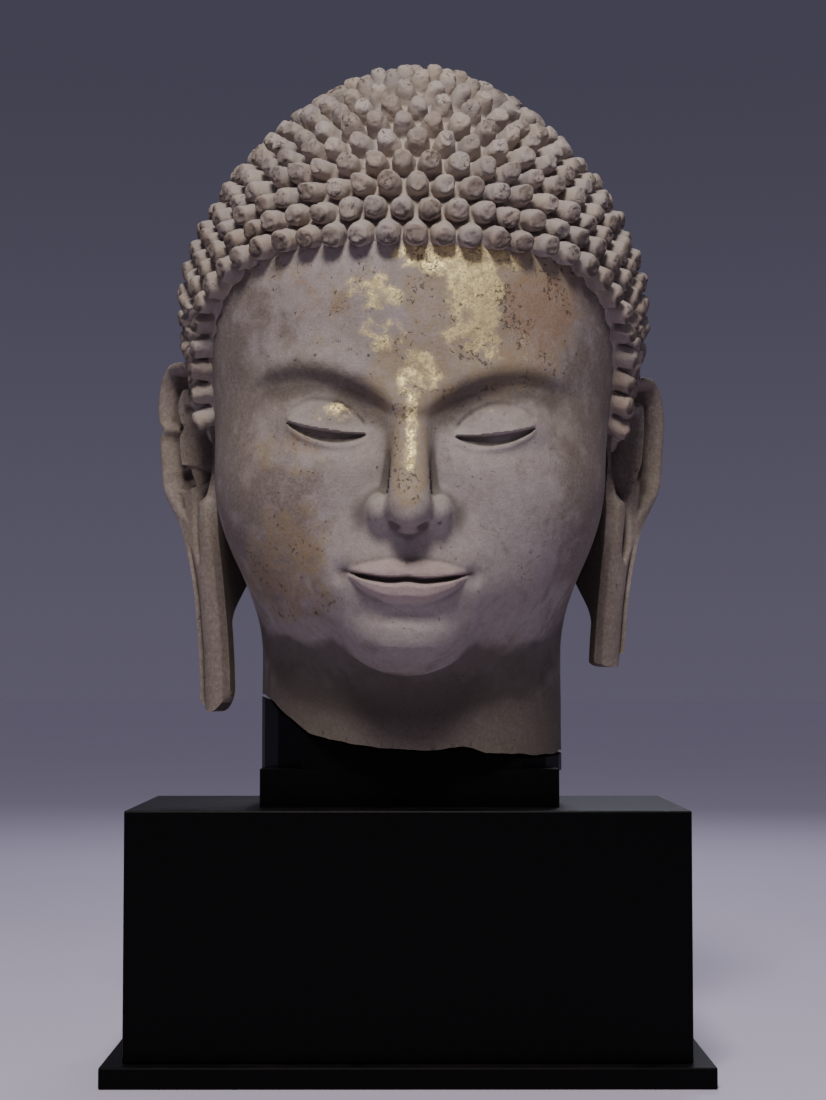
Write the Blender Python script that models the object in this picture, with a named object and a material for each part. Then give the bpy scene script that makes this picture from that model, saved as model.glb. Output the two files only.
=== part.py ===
"""Carved stone head, broken at the neck, on a black stand. Metres, +Z up, the face looks along -Y."""
import math

import bmesh
import bpy
import numpy as np
from mathutils import Vector
from mathutils.geometry import delaunay_2d_cdt

# Stand
FIT_GAP = 0.0003
BODY_WIDTH = 0.500
BODY_DEPTH = 0.256
BODY_HEIGHT = 0.220
PLINTH_OVERHANG = 0.0184
PLINTH_HEIGHT = 0.019
EDGE_ROUNDING = 0.0015
POST_WIDTH = 0.271
POST_DEPTH = 0.150
POST_HEIGHT = 0.054
POST_OFFSET_X = 0.0014
SCRIBE_LEDGE = 0.004
SCRIBE_SIDES = 24

# Head: its place above the stand, its lean and its neck
HEAD_ABOVE_POST = 0.307
HEAD_OFFSET_X = 0.0035
NOD = math.radians(5.0)
ROLL = math.radians(1.3)
NECK_HALF_WIDTH = 0.1420
NECK_HALF_DEPTH = 0.128
NECK_BACK = 0.020
NECK_SINK = 0.035
NECK_TOP = -0.10
NECK_RING_HEIGHTS = (-0.262, -0.300)
NECK_RING_SIDES = 24

# Height of the broken underside of the neck above the post's mean top, from one side to the other,
# along the front edge and along the back edge
BREAK_STATIONS = (
    (-0.150, 0.054, 0.046),
    (-0.134, 0.046, 0.041),
    (-0.116, 0.027, 0.036),
    (-0.090, 0.006, 0.024),
    (-0.045, -0.003, 0.016),
    (0.000, -0.007, 0.013),
    (0.050, -0.005, 0.008),
    (0.090, -0.013, 0.006),
    (0.134, -0.015, 0.002),
    (0.150, -0.016, 0.000),
)
BREAK_FRONT = 0.130
BREAK_BACK = -0.170

# Face, in the head's own frame: x across, f forward, z up
HAIRLINE_Z = 0.128
FACE_HEIGHT = 0.368
FACE_WIDTH = 0.370

FACE_MESH_FINE = 0.0105
FACE_MESH_COARSE = 0.028

# Hair curls
CURL_PITCH_FRONT = 0.0243
CURL_PITCH_BACK = 0.0430
CURL_ROW_PITCH = 0.0280
CURL_HEIGHT = 0.020
CURL_RADIUS = 0.0112
CURL_DROOP = 0.22
CURL_TURN_BEGINS = 0.36
CURL_TURN_ENDS = 0.90
CURL_WANDER = 0.0011
CURL_SEED = 11
CROWN_POLE_LEAN = math.radians(37)
BACK_CAP_CORNERS = 4
BACK_BEGINS = 0.42

# Ears
EAR_TOP_LEFT = 0.0625
EAR_TOP_RIGHT = 0.0480
LOBE_END_LEFT = -0.2765
LOBE_END_RIGHT = -0.2345
LOBE_TIP_LEFT = 0.024
LOBE_TIP_RIGHT = 0.006
LOBE_CHIP = 0.011
EAR_SPLAY = math.radians(36)
LOBE_SPLAY = math.radians(58)
EAR_CROWN = 0.052
EAR_ROWS = 18
EAR_COLUMNS = 10

# Outer edge of both ears: height from the head's centre, and distance from the middle
EAR_EDGE = (
    (-0.280, 0.2005),
    (-0.225, 0.2020),
    (-0.170, 0.2065),
    (-0.140, 0.2110),
    (-0.110, 0.2180),
    (-0.078, 0.2280),
    (-0.040, 0.2320),
    (-0.008, 0.2350),
    (0.034, 0.2380),
    (0.070, 0.2380),
)

SHARP_ANGLE = math.radians(32)
STONE_COLOUR = (0.235, 0.195, 0.175, 1.0)
STAND_COLOUR = (0.006, 0.006, 0.008, 1.0)

THIRD = FACE_HEIGHT / 3
BROW_Z = HAIRLINE_Z - THIRD
NOSE_Z = BROW_Z - THIRD
CHIN_Z = NOSE_Z - THIRD
EYE_Z = BROW_Z - THIRD / 4
MOUTH_Z = NOSE_Z - THIRD / 3
EYE_WIDTH = FACE_WIDTH / 5
LIP_HALF = EYE_WIDTH * 0.74

STAR = np.array([0.0, 0.0, 0.02])
BODY_BOTTOM = PLINTH_HEIGHT + FIT_GAP
BODY_TOP = BODY_BOTTOM + BODY_HEIGHT
POST_BOTTOM = BODY_TOP + FIT_GAP
POST_TOP = POST_BOTTOM + POST_HEIGHT
HEAD_CENTRE = np.array([HEAD_OFFSET_X, 0.0, POST_TOP + HEAD_ABOVE_POST])


def smoothstep(a, b, v):
    t = np.clip((v - a) / (b - a), 0, 1)
    return t * t * (3 - 2 * t)


def bump(v, width):
    return np.exp(-((v / width) ** 2))


def join(a, b, k):
    """Union of two distance fields, rounded over a width k."""
    h = np.maximum(k - np.abs(a - b), 0) / k
    return np.minimum(a, b) - h * h * k / 4


def carve(a, b, k):
    """The first field with a rounded hollow pressed in where the second one is positive outside."""
    return -join(-a, b, k)


def ellipsoid(p, centre, radii):
    q = (p - np.array(centre)) / np.array(radii)
    k0 = np.linalg.norm(q, axis=-1)
    k1 = np.linalg.norm(q / np.array(radii), axis=-1) + 1e-9
    return k0 * (k0 - 1) / k1


def tapered_bar(p, start, end, start_radius, end_radius):
    start, end = np.array(start), np.array(end)
    t = np.clip(((p - start) @ (end - start)) / ((end - start) @ (end - start)), 0, 1)
    near = start + t[..., None] * (end - start)
    return np.linalg.norm(p - near, axis=-1) - (start_radius + (end_radius - start_radius) * t)


# Head frame and stand frame
def lean_matrix():
    """Turns the head's own axes (x, f, z) by its nod and its roll; f stays forward."""
    cn, sn = math.cos(NOD), math.sin(NOD)
    cr, sr = math.cos(ROLL), math.sin(ROLL)
    nod = np.array([[1, 0, 0], [0, cn, sn], [0, -sn, cn]])
    roll = np.array([[cr, 0, sr], [0, 1, 0], [-sr, 0, cr]])
    return roll @ nod


LEAN = lean_matrix()
LEAN_LIFT = np.array([0.0, 0.0, math.sin(NOD) * 0.2])


def upright(q):
    """From the head's frame to upright axes through the head's centre."""
    return q @ LEAN.T + LEAN_LIFT


def leaning(p):
    return (p - LEAN_LIFT) @ LEAN


def to_world(q):
    p = upright(q)
    return np.stack([p[:, 0], -p[:, 1], p[:, 2]], -1) + HEAD_CENTRE


# The bald head
def skull(m):
    """Cranium, crown mound, face, cheeks and jaw; m has x as a distance from the middle."""
    d = ellipsoid(m, (0, -0.020, 0.084), (0.205, 0.214, 0.180))
    d = join(d, ellipsoid(m, (0, -0.022, 0.155), (0.104, 0.109, 0.134)), 0.085)
    d = join(d, ellipsoid(m, (0, 0.015, -0.050), (0.181, 0.178, 0.190)), 0.050)
    d = join(d, ellipsoid(m, (0.068, 0.075, -0.092), (0.095, 0.103, 0.098)), 0.050)
    return join(d, ellipsoid(m, (0, 0.088, -0.165), (0.115, 0.100, 0.078)), 0.050)


def neck(p):
    """Upright oval column under the head; p has upright axes."""
    q = p[..., :2] - np.array([0.0, -NECK_BACK])
    oval = np.linalg.norm(q / np.array([NECK_HALF_WIDTH, NECK_HALF_DEPTH]), axis=-1)
    return np.maximum((oval - 1) * NECK_HALF_DEPTH, p[..., 2] - NECK_TOP)


def brow_line(s):
    t = np.clip((s - 0.014) / 0.130, 0, 1)
    return BROW_Z - 0.024 + 0.043 * np.sin(math.pi * (0.06 + 0.66 * t)) - 0.004 * t


def lid_lines(s):
    """Heights of the upper and the lower lid's edge, the arch from corner to corner and the corners."""
    t = np.clip(s / EYE_WIDTH - 0.5, 0, 1)
    corner = EYE_Z - 0.011 + 0.010 * t
    arch = 4 * t * (1 - t)
    return corner - 0.0030 * arch, corner - 0.0135 * arch ** 0.8, arch, corner


def lip_lines(s):
    """Heights of the line between the lips and of the lips' outer borders."""
    u = np.clip(s / LIP_HALF, 0, 1)
    width = np.clip(1 - u ** 2, 0, 1)
    line = MOUTH_Z - 0.0030 * width ** 2 + 0.0020 * bump(s, 0.010) + 0.0030 * u ** 3
    top = line + 0.0190 * width ** 0.85 - 0.0040 * bump(s, 0.008)
    return line, top, line - 0.0225 * width ** 0.70, u


def features(m):
    """Sockets, eyes, nose, mouth mound and chin, joined to the skull."""
    d = skull(m)
    d = carve(d, ellipsoid(m, (0.068, 0.232, EYE_Z + 0.006), (0.058, 0.052, 0.030)), 0.030)
    d = join(d, ellipsoid(m, (EYE_WIDTH, 0.139, EYE_Z - 0.004), (0.047, 0.046, 0.033)), 0.010)
    nose = tapered_bar(m, (0, 0.187, BROW_Z - 0.012), (0, 0.2245, NOSE_Z + 0.0205), 0.0125, 0.0195)
    nose = join(nose, ellipsoid(m, (0.0235, 0.205, NOSE_Z + 0.0150), (0.0135, 0.0175, 0.0145)), 0.008)
    nose = join(nose, ellipsoid(m, (0, 0.222, NOSE_Z + 0.0110), (0.011, 0.020, 0.011)), 0.010)
    nose = np.maximum(nose, NOSE_Z - 0.002 + 0.30 * (m[..., 1] - 0.213) - m[..., 2])
    d = join(d, nose, 0.016)
    d = carve(d, ellipsoid(m, (0.0125, 0.222, NOSE_Z - 0.001), (0.0062, 0.0125, 0.0075)), 0.004)
    d = join(d, ellipsoid(m, (0, 0.160, MOUTH_Z + 0.002), (0.066, 0.050, 0.044)), 0.035)
    return join(d, ellipsoid(m, (0, 0.163, CHIN_Z + 0.030), (0.045, 0.042, 0.032)), 0.035)


def face_relief(s, z):
    """How far brows, lids and lips stand forward of the plain features."""
    crest = brow_line(s)
    rim = np.where(z > crest, bump(z - crest, 0.020), smoothstep(-0.013, 0.0, z - crest))
    out = 0.0060 * rim * smoothstep(0.158, 0.120, s)
    upper, lower, arch, corner = lid_lines(s)
    lid = smoothstep(0, 0.25, arch)
    out -= 0.0040 * smoothstep(0, 0.0014, upper - z) * smoothstep(0, 0.0020, z - lower) * (arch > 0)
    out += 0.0022 * bump(z - upper - 0.0012, 0.0042) * lid * (z > upper)
    out += 0.0016 * bump(z - lower + 0.0022, 0.0030) * lid
    out -= 0.0017 * bump(z - corner - 0.0035 - 0.0200 * arch ** 0.8, 0.0020) * lid
    groove = smoothstep(MOUTH_Z + 0.012, MOUTH_Z + 0.022, z) * smoothstep(NOSE_Z, NOSE_Z - 0.008, z)
    out -= 0.0024 * bump(s, 0.0070) * groove
    line, top, low, u = lip_lines(s)
    up = (z - line) / np.maximum(top - line, 1e-4)
    down = (line - z) / np.maximum(line - low, 1e-4)
    upper_lip = smoothstep(1.08, 0.80, up) * (0.55 + 0.45 * smoothstep(1.0, 0.25, up))
    upper_lip = upper_lip * smoothstep(-0.02, 0.16, up)
    lower_lip = smoothstep(1.10, 0.62, down) * smoothstep(-0.02, 0.30, down)
    out += (0.0078 * upper_lip + 0.0090 * lower_lip) * smoothstep(1.0, 0.72, u)
    out -= 0.0022 * bump(z - line, 0.0018) * smoothstep(1.10, 0.95, s / LIP_HALF)
    out -= 0.0050 * bump(s - LIP_HALF - 0.002, 0.0080) * bump(z - MOUTH_Z - 0.001, 0.009)
    out -= 0.0040 * bump(s, 0.034) * bump(z - MOUTH_Z + 0.034, 0.0085)
    return out


def bald_head(q):
    """Distance field of the whole head without hair and ears, in the head's frame."""
    m = q.copy()
    m[..., 0] = np.abs(m[..., 0])
    m[..., 1] -= face_relief(m[..., 0], m[..., 2]) * smoothstep(0.02, 0.09, m[..., 1])
    return join(features(m), neck(upright(q)), 0.045)


def scalp(q):
    m = q.copy()
    m[..., 0] = np.abs(m[..., 0])
    return join(skull(m), neck(upright(q)), 0.045)


def lift(directions, field):
    """Points where rays from the star point leave the field's solid."""
    t = np.full(len(directions), 0.48)
    for _ in range(60):
        t -= np.clip(field(STAR + directions * t[:, None]) * 0.5, -0.01, 0.05)
    return STAR + directions * t[:, None]


def front_points(spots, field):
    """Points of a field seen from straight ahead at the given (x, z) spots."""
    p = np.stack([spots[:, 0], np.full(len(spots), 0.30), spots[:, 1]], -1)
    for _ in range(80):
        p[:, 1] -= np.clip(field(p) * 0.5, -0.01, 0.02)
    return p


def unit(v):
    return v / np.linalg.norm(v, axis=-1, keepdims=True)


def outward(points, field):
    """Unit normals of a field at its surface."""
    step = 0.002
    grad = np.zeros_like(points)
    for axis in range(3):
        shift = np.zeros(3)
        shift[axis] = step
        grad[:, axis] = field(points + shift) - field(points - shift)
    return unit(grad)


# Hair curls
def hairline_points():
    """Right half of the hairline, from the middle of the forehead to the nape."""
    return np.array([
        (0.000, 0.190, HAIRLINE_Z), (0.060, 0.182, HAIRLINE_Z), (0.120, 0.150, HAIRLINE_Z - 0.004),
        (0.150, 0.120, HAIRLINE_Z - 0.021), (0.170, 0.090, HAIRLINE_Z - 0.048),
        (0.177, 0.068, HAIRLINE_Z - 0.075), (0.179, 0.050, HAIRLINE_Z - 0.115),
        (0.180, 0.035, HAIRLINE_Z - 0.158), (0.186, -0.005, HAIRLINE_Z - 0.150),
        (0.183, -0.050, HAIRLINE_Z - 0.185), (0.135, -0.130, HAIRLINE_Z - 0.265),
        (0.070, -0.175, HAIRLINE_Z - 0.290), (0.000, -0.185, HAIRLINE_Z - 0.295),
    ])


def pole_axes():
    """Crown pole of the curl rows, and two axes square to it; the first looks to the front."""
    pole = np.array([0.0, -math.sin(CROWN_POLE_LEAN), math.cos(CROWN_POLE_LEAN)])
    ahead = np.array([0.0, math.cos(CROWN_POLE_LEAN), math.sin(CROWN_POLE_LEAN)])
    return pole, ahead, np.array([1.0, 0.0, 0.0])


def hairline_angle(bearing):
    """Angle from the crown pole to the hairline at a bearing from the front."""
    pole, ahead, aside = pole_axes()
    d = unit(hairline_points() - STAR)
    turn = np.arctan2(d @ aside, d @ ahead)
    drop = np.arccos(d @ pole)
    order = np.argsort(turn)
    return np.interp(np.abs(bearing), turn[order], drop[order])


def polar(bearing, drop):
    pole, ahead, aside = pole_axes()
    side = np.cos(bearing)[:, None] * ahead + np.sin(bearing)[:, None] * aside
    return np.cos(drop)[:, None] * pole + np.sin(drop)[:, None] * side


def curl_pitch(bearing):
    t = smoothstep(math.radians(75), math.radians(140), np.abs(bearing))
    return CURL_PITCH_FRONT + (CURL_PITCH_BACK - CURL_PITCH_FRONT) * t


def row_bearings(share, staggered):
    """Bearings of one row's curls; the share runs from 0 at the hairline to 1 at the crown pole."""
    b = np.linspace(0, math.pi, 181)
    p = lift(polar(b, hairline_angle(b) * (1 - share)), scalp)
    gap = np.linalg.norm(np.diff(p, axis=0), axis=1) / curl_pitch((b[1:] + b[:-1]) / 2)
    run = np.concatenate([[0], np.cumsum(gap)])
    start = 0.5 if staggered else 0.0
    halves = max(1, round(2 * run[-1]) - round(2 * start))
    places = start + np.arange(0, halves / 2 + 0.01)
    right = np.interp(places * run[-1] / (start + halves / 2), run, b)
    left = -right[(right > 1e-6) & (right < math.pi - 1e-6)]
    return np.concatenate([right, left])


def curl_sites():
    """Directions of the curls, and after them those of a ring just outside the hairline."""
    b = np.zeros(1)
    front = lift(polar(np.zeros(40), hairline_angle(b) * np.linspace(0, 1, 40)), scalp)
    rows = round(np.linalg.norm(np.diff(front, axis=0), axis=1).sum() / CURL_ROW_PITCH)
    rng = np.random.default_rng(CURL_SEED)
    curls, ring = [], []
    for row in range(-1, rows):
        share = (row + 0.5) / rows
        bearing = row_bearings(share, row % 2 == 1)
        if row == rows - 1:
            bearing = bearing[:3]
        d = polar(bearing, hairline_angle(bearing) * (1 - share))
        shake = rng.normal(0, CURL_WANDER / 0.2, d.shape) if row > 0 else 0
        (ring if row < 0 else curls).append(unit(d + shake))
    return np.concatenate(curls), np.concatenate(ring)


def flat_map(d):
    """Stereographic map from straight below, which keeps circles round."""
    return d[:, :2] / (1 + d[:, 2:3])


def triangulate(points, edges):
    """Triangles over flat points that keep the given edges, as indices of the points."""
    verts = [Vector(p) for p in points.tolist()]
    _, _, faces, origin, _, _ = delaunay_2d_cdt(verts, edges, [], 0, 1e-7)
    back = [o[0] if o else -1 for o in origin]
    return np.array([[back[i] for i in f] for f in faces])


def curl_cells(curls, ring):
    """Corners of the valleys between curls, as directions, and each curl's loop of them."""
    sites = np.concatenate([curls, ring])
    triangles = triangulate(flat_map(sites), [])
    a, b, c = sites[triangles[:, 0]], sites[triangles[:, 1]], sites[triangles[:, 2]]
    corners = unit(np.cross(b - a, c - a))
    corners *= np.sign((corners * a).sum(1))[:, None]
    loops = []
    for i, site in enumerate(curls):
        near = np.nonzero((triangles == i).any(1))[0]
        e1 = unit(np.cross(site, [0.0, 1.0, 0.3]))
        e2 = np.cross(site, e1)
        arc = corners[near] - site
        loops.append(near[np.argsort(np.arctan2(arc @ e2, arc @ e1))])
    used = np.unique(np.concatenate(loops))
    index = np.full(len(corners), -1)
    index[used] = np.arange(len(used))
    return corners[used], [index[loop] for loop in loops]


def outline_of(loops):
    """The closed chain of loop edges that belong to one curl only."""
    edges = [(a, b) for loop in loops for a, b in zip(loop, np.roll(loop, -1))]
    seen = set(edges)
    follow = {a: b for a, b in edges if (b, a) not in seen}
    chain = [next(iter(follow))]
    while follow[chain[-1]] != chain[0]:
        chain.append(follow[chain[-1]])
    return chain


def curl_axis(normal):
    """Curls droop a little on the sides and over the brow, and turn upright towards the top."""
    top = smoothstep(CURL_TURN_BEGINS, CURL_TURN_ENDS, normal[:, 2:3])
    rise = normal[:, 2:3] * top - CURL_DROOP * (1 - top)
    return unit(np.concatenate([normal[:, :2], rise], 1))


def add_curls(mesh, verts, curls, loops):
    """A knob on each cell, from its valley corners up to a round end."""
    feet = lift(curls, scalp)
    axes = curl_axis(outward(feet, scalp))
    for site, foot, axis, loop in zip(curls, feet, axes, loops):
        base = [verts[i] for i in loop]
        spread = np.array([v.co for v in base]) - foot
        spread = unit(spread - np.outer(spread @ axis, axis))
        if site[1] < BACK_BEGINS and len(loop) > BACK_CAP_CORNERS:
            keep = np.unique(np.round(np.linspace(0, len(loop), BACK_CAP_CORNERS + 1))[:-1].astype(int))
        else:
            keep = np.arange(len(loop))
        end = foot + axis * CURL_HEIGHT
        cap = {k: mesh.verts.new(end + spread[k] * CURL_RADIUS) for k in keep}
        for k in range(len(loop)):
            here = cap[keep[keep <= k].max()]
            following = (k + 1) % len(loop)
            there = cap[keep[keep <= following].max()]
            mesh.faces.new((base[k], base[following], there) + (() if here is there else (here,)))
        mesh.faces.new(list(cap.values()))


# Face and neck
def face_curves():
    """Feature lines of the face's right half, as (x, z) points, each a run of joined edges."""
    eye = np.linspace(0.5, 1.5, 8) * EYE_WIDTH
    upper, lower, arch, corner = lid_lines(eye)
    lips = np.array([0.0, 0.2, 0.45, 0.7, 0.88, 1.0]) * LIP_HALF
    line, top, low, _ = lip_lines(lips)
    brow = np.linspace(0.018, 0.142, 8)
    fold = np.stack([eye, corner + 0.0035 + 0.0200 * arch ** 0.8], -1)[1:-1]
    lid = np.stack([eye, corner + 0.0015 + 0.0090 * arch], -1)[1:-1]
    return [
        lid, np.stack([lips, line + 0.45 * (top - line)], -1)[:-1],
        np.stack([lips, line + 0.50 * (low - line)], -1)[:-1],
        np.stack([eye, upper], -1), np.stack([eye, lower], -1), fold,
        np.stack([brow, brow_line(brow)], -1), np.stack([brow[:6], brow_line(brow[:6]) - 0.012], -1),
        np.stack([lips, line], -1), np.stack([lips, top], -1)[:-1], np.stack([lips, low], -1)[:-1],
        np.array([(0.0, NOSE_Z - 0.001), (0.010, NOSE_Z - 0.001), (0.022, NOSE_Z), (0.034, NOSE_Z + 0.006)]),
        np.array([(0.038, NOSE_Z + 0.016), (0.033, NOSE_Z + 0.028), (0.022, NOSE_Z + 0.036)]),
    ]


def wanted_gap(x, z):
    """How far apart the face's mesh points lie: close at eyes, nose and mouth."""
    s = np.abs(x)
    eye = np.hypot((s - EYE_WIDTH) / 0.055, (z - EYE_Z) / 0.034)
    nose = np.hypot(s / 0.040, (z - NOSE_Z - 0.03) / 0.060)
    mouth = np.hypot(s / 0.070, (z - MOUTH_Z) / 0.034)
    near = np.minimum(np.minimum(eye, nose), mouth) - 1
    return np.clip(FACE_MESH_FINE + 0.016 * near, FACE_MESH_FINE, FACE_MESH_COARSE)


def face_points():
    """Feature points with their edges, then fillers between them, as (x, z), the left side mirrored."""
    points, edges = [], []
    for curve in face_curves():
        index = []
        for spot in curve:
            match = [i for i, p in enumerate(points) if np.hypot(*(p - spot)) < 1e-4]
            index.append(match[0] if match else len(points))
            if not match:
                points.append(spot)
        edges += list(zip(index, index[1:]))
    for level in (1, 2):
        step = FACE_MESH_FINE * level
        for j in range(int((CHIN_Z + 0.018) / step), int(0.16 / step)):
            for i in range(int(0.17 / step) + 1):
                spot = np.array([(i + 0.5 * (j % 2)) * step, j * step * 0.866])
                gap = wanted_gap(*spot)
                fits = (gap < FACE_MESH_FINE * 1.5) == (level == 1)
                if fits and np.hypot(*(np.array(points) - spot).T).min() > gap * 0.62:
                    points.append(spot)
    points = np.array(points)
    off_centre = np.nonzero(points[:, 0] > 1e-6)[0]
    twin = np.arange(len(points))
    twin[off_centre] = len(points) + np.arange(len(off_centre))
    edges += [(twin[a], twin[b]) for a, b in edges]
    return np.concatenate([points, points[off_centre] * [-1, 1]]), edges


def inside(polygon, points):
    """Which flat points lie inside a closed polygon."""
    a = polygon
    b = np.roll(polygon, -1, axis=0)
    x, y = points[:, :1], points[:, 1:2]
    crosses = (a[:, 1] > y) != (b[:, 1] > y)
    climb = np.where(b[:, 1] == a[:, 1], 1e-12, b[:, 1] - a[:, 1])
    at = a[:, 0] + (y - a[:, 1]) * (b[:, 0] - a[:, 0]) / climb
    return (crosses & (x < at)).sum(1) % 2 == 1


def distance_to(points, others):
    return np.linalg.norm(points[:, None] - others[None], axis=-1).min(1)


def neck_ring(count, height):
    """Directions to an upright ring on the neck's side."""
    turn = np.arange(count) * 2 * math.pi / count
    ring = np.stack([NECK_HALF_WIDTH * np.sin(turn), NECK_HALF_DEPTH * np.cos(turn) - NECK_BACK,
                     np.full(count, height)], -1)
    return unit(leaning(ring) - STAR)


def skin(corners, chain):
    """Points, triangles and bottom ring of all that is bare of hair, after the hair's own chain."""
    edge_line = flat_map(corners[chain])
    spots, spot_edges = face_points()
    front = unit(front_points(spots, scalp) - STAR)
    rings = [neck_ring(NECK_RING_SIDES, -HEAD_ABOVE_POST - NECK_SINK)]
    rings += [neck_ring(NECK_RING_SIDES, z) for z in NECK_RING_HEIGHTS]
    side = []
    for elevation in range(-56, 8, 8):
        turn = np.radians(np.arange(54, 307, 11.5) + 5.75 * ((elevation // 8) % 2))
        e = math.radians(elevation)
        side.append(np.stack([np.sin(turn) * math.cos(e), np.cos(turn) * math.cos(e),
                              np.full(len(turn), math.sin(e))], -1))
    rest = np.concatenate(rings[1:] + side)
    places = flat_map(front)
    keep = ~inside(edge_line, places) & (distance_to(front, corners[chain]) > 0.045)
    renumber = np.cumsum(keep) - 1
    edges = [(renumber[a], renumber[b]) for a, b in spot_edges if keep[a] and keep[b]]
    front, spots = front[keep], spots[keep]
    rest = rest[~inside(edge_line, flat_map(rest)) & (distance_to(rest, corners[chain]) > 0.07)]
    rest = rest[(distance_to(rest, front) > 0.085) & (distance_to(rest, rings[0]) > 0.05)]
    free = np.concatenate([front, rest, rings[0]])
    count = len(chain)
    ring = np.arange(len(free) - len(rings[0]), len(free)) + count
    edges = [(a + count, b + count) for a, b in edges]
    edges += [(i, (i + 1) % count) for i in range(count)]
    edges += list(zip(ring.tolist(), np.roll(ring, -1).tolist()))
    flat = np.concatenate([edge_line, flat_map(free)])
    triangles = triangulate(flat, edges)
    middle = flat[triangles].mean(1)
    triangles = triangles[~inside(edge_line, middle)]
    places = lift(free, bald_head)
    places[:len(spots)] = front_points(spots, bald_head)
    return places, triangles, ring


def add_object(name, mesh, material):
    data = bpy.data.meshes.new(name)
    mesh.to_mesh(data)
    mesh.free()
    data.materials.append(material)
    data.shade_smooth()
    data.set_sharp_from_angle(angle=SHARP_ANGLE)
    body = bpy.data.objects.new(name, data)
    bpy.context.scene.collection.objects.link(body)
    return body


def head_mesh():
    curls, ring = curl_sites()
    corners, loops = curl_cells(curls, ring)
    chain = outline_of(loops)
    places, triangles, bottom = skin(corners, chain)
    mesh = bmesh.new()
    valley = [mesh.verts.new(p) for p in lift(corners, scalp)]
    bare = [mesh.verts.new(p) for p in places]
    lookup = [valley[i] for i in chain] + bare
    for triangle in triangles:
        mesh.faces.new([lookup[i] for i in triangle])
    mesh.faces.new([lookup[i] for i in bottom])
    add_curls(mesh, valley, curls, loops)
    for vert in mesh.verts:
        vert.co = to_world(np.array([vert.co]))[0]
    bmesh.ops.recalc_face_normals(mesh, faces=mesh.faces)
    bmesh.ops.triangulate(mesh, faces=mesh.faces)
    return mesh


# Ears
def half_round(v):
    return np.sqrt(np.clip(1 - v ** 2, 0, 1))


def ear_splay(z):
    return EAR_SPLAY + (LOBE_SPLAY - EAR_SPLAY) * smoothstep(-0.02, -0.20, z)


def ear_root(z):
    """Place of the ear's front edge: distance from the middle and distance forward."""
    x = 0.1700 + 0.0125 * smoothstep(-0.26, -0.06, z)
    return x, -0.004 - 0.010 * smoothstep(-0.15, 0.03, z)


def ear_outline(z, top, wide, broken):
    """Front and back edge of the ear at height z, measured back from its root line."""
    heights, places = np.array(EAR_EDGE).T
    edge = sum(np.interp(z + shift, heights, places) for shift in (-0.010, 0.0, 0.010)) / 3
    back = (edge - 0.003 - ear_root(z)[0]) / np.sin(ear_splay(z)) - 0.008 * broken * bump(z + 0.003, 0.006)
    crown = half_round(np.clip(z - wide, 0, None) / (top - wide))
    middle = back * 0.60
    return middle - middle * crown, middle + (back - middle) * crown


def ear_relief(s, z, front, back, top, broken):
    """Height of the carving on the ear's outer face; broken is 1 on the chipped left ear."""
    rim = np.minimum(back - s, (top - z) * 1.2)
    rim = np.minimum(rim, np.where(z > 0.018, s - front, 1.0))
    out = 0.009 + 0.014 * half_round((rim - 0.0075) / 0.0090) * smoothstep(-0.105, -0.055, z)
    out -= 0.008 * bump(rim - 0.0235, 0.0060) * smoothstep(-0.060, -0.030, z)
    out += 0.009 * bump(rim - 0.0370, 0.0080) * smoothstep(-0.070, -0.035, z) * smoothstep(0.050, 0.020, z)
    bowl = 1 - ((s - 0.024 - 0.10 * (z + 0.03)) / 0.021) ** 2 - ((z + 0.030) / 0.046) ** 2
    out -= 0.026 * np.clip(bowl, 0, 1) ** 0.7
    out += 0.009 * bump(s, 0.009) * bump(z + 0.040, 0.018)
    away = s - 0.024 - 0.08 * (z + 0.105)
    out += 0.006 * half_round((s - 0.010) / 0.012) * smoothstep(-0.068, -0.082, z)
    out -= 0.012 * bump(away, 0.0030) * smoothstep(-0.150, -0.132, z) * smoothstep(-0.055, -0.075, z)
    out -= 0.026 * (1 - broken) * bump(away, 0.0042) * bump(z + 0.112, 0.015)
    chip = 1 - np.hypot((s - 0.046) / 0.017, (z + 0.052) / 0.013)
    out -= 0.009 * broken * smoothstep(0.0, 0.25, chip)
    across = np.clip((s - front) / np.maximum(back - front, 1e-4), 0, 1)
    strip = 0.0035 + 0.0095 * half_round((across - 0.40) / 0.43)
    strip += 0.0055 * half_round((across - 0.92) / 0.09)
    lobe = smoothstep(-0.110, -0.142, z)
    return out * (1 - lobe) + strip * lobe


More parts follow.
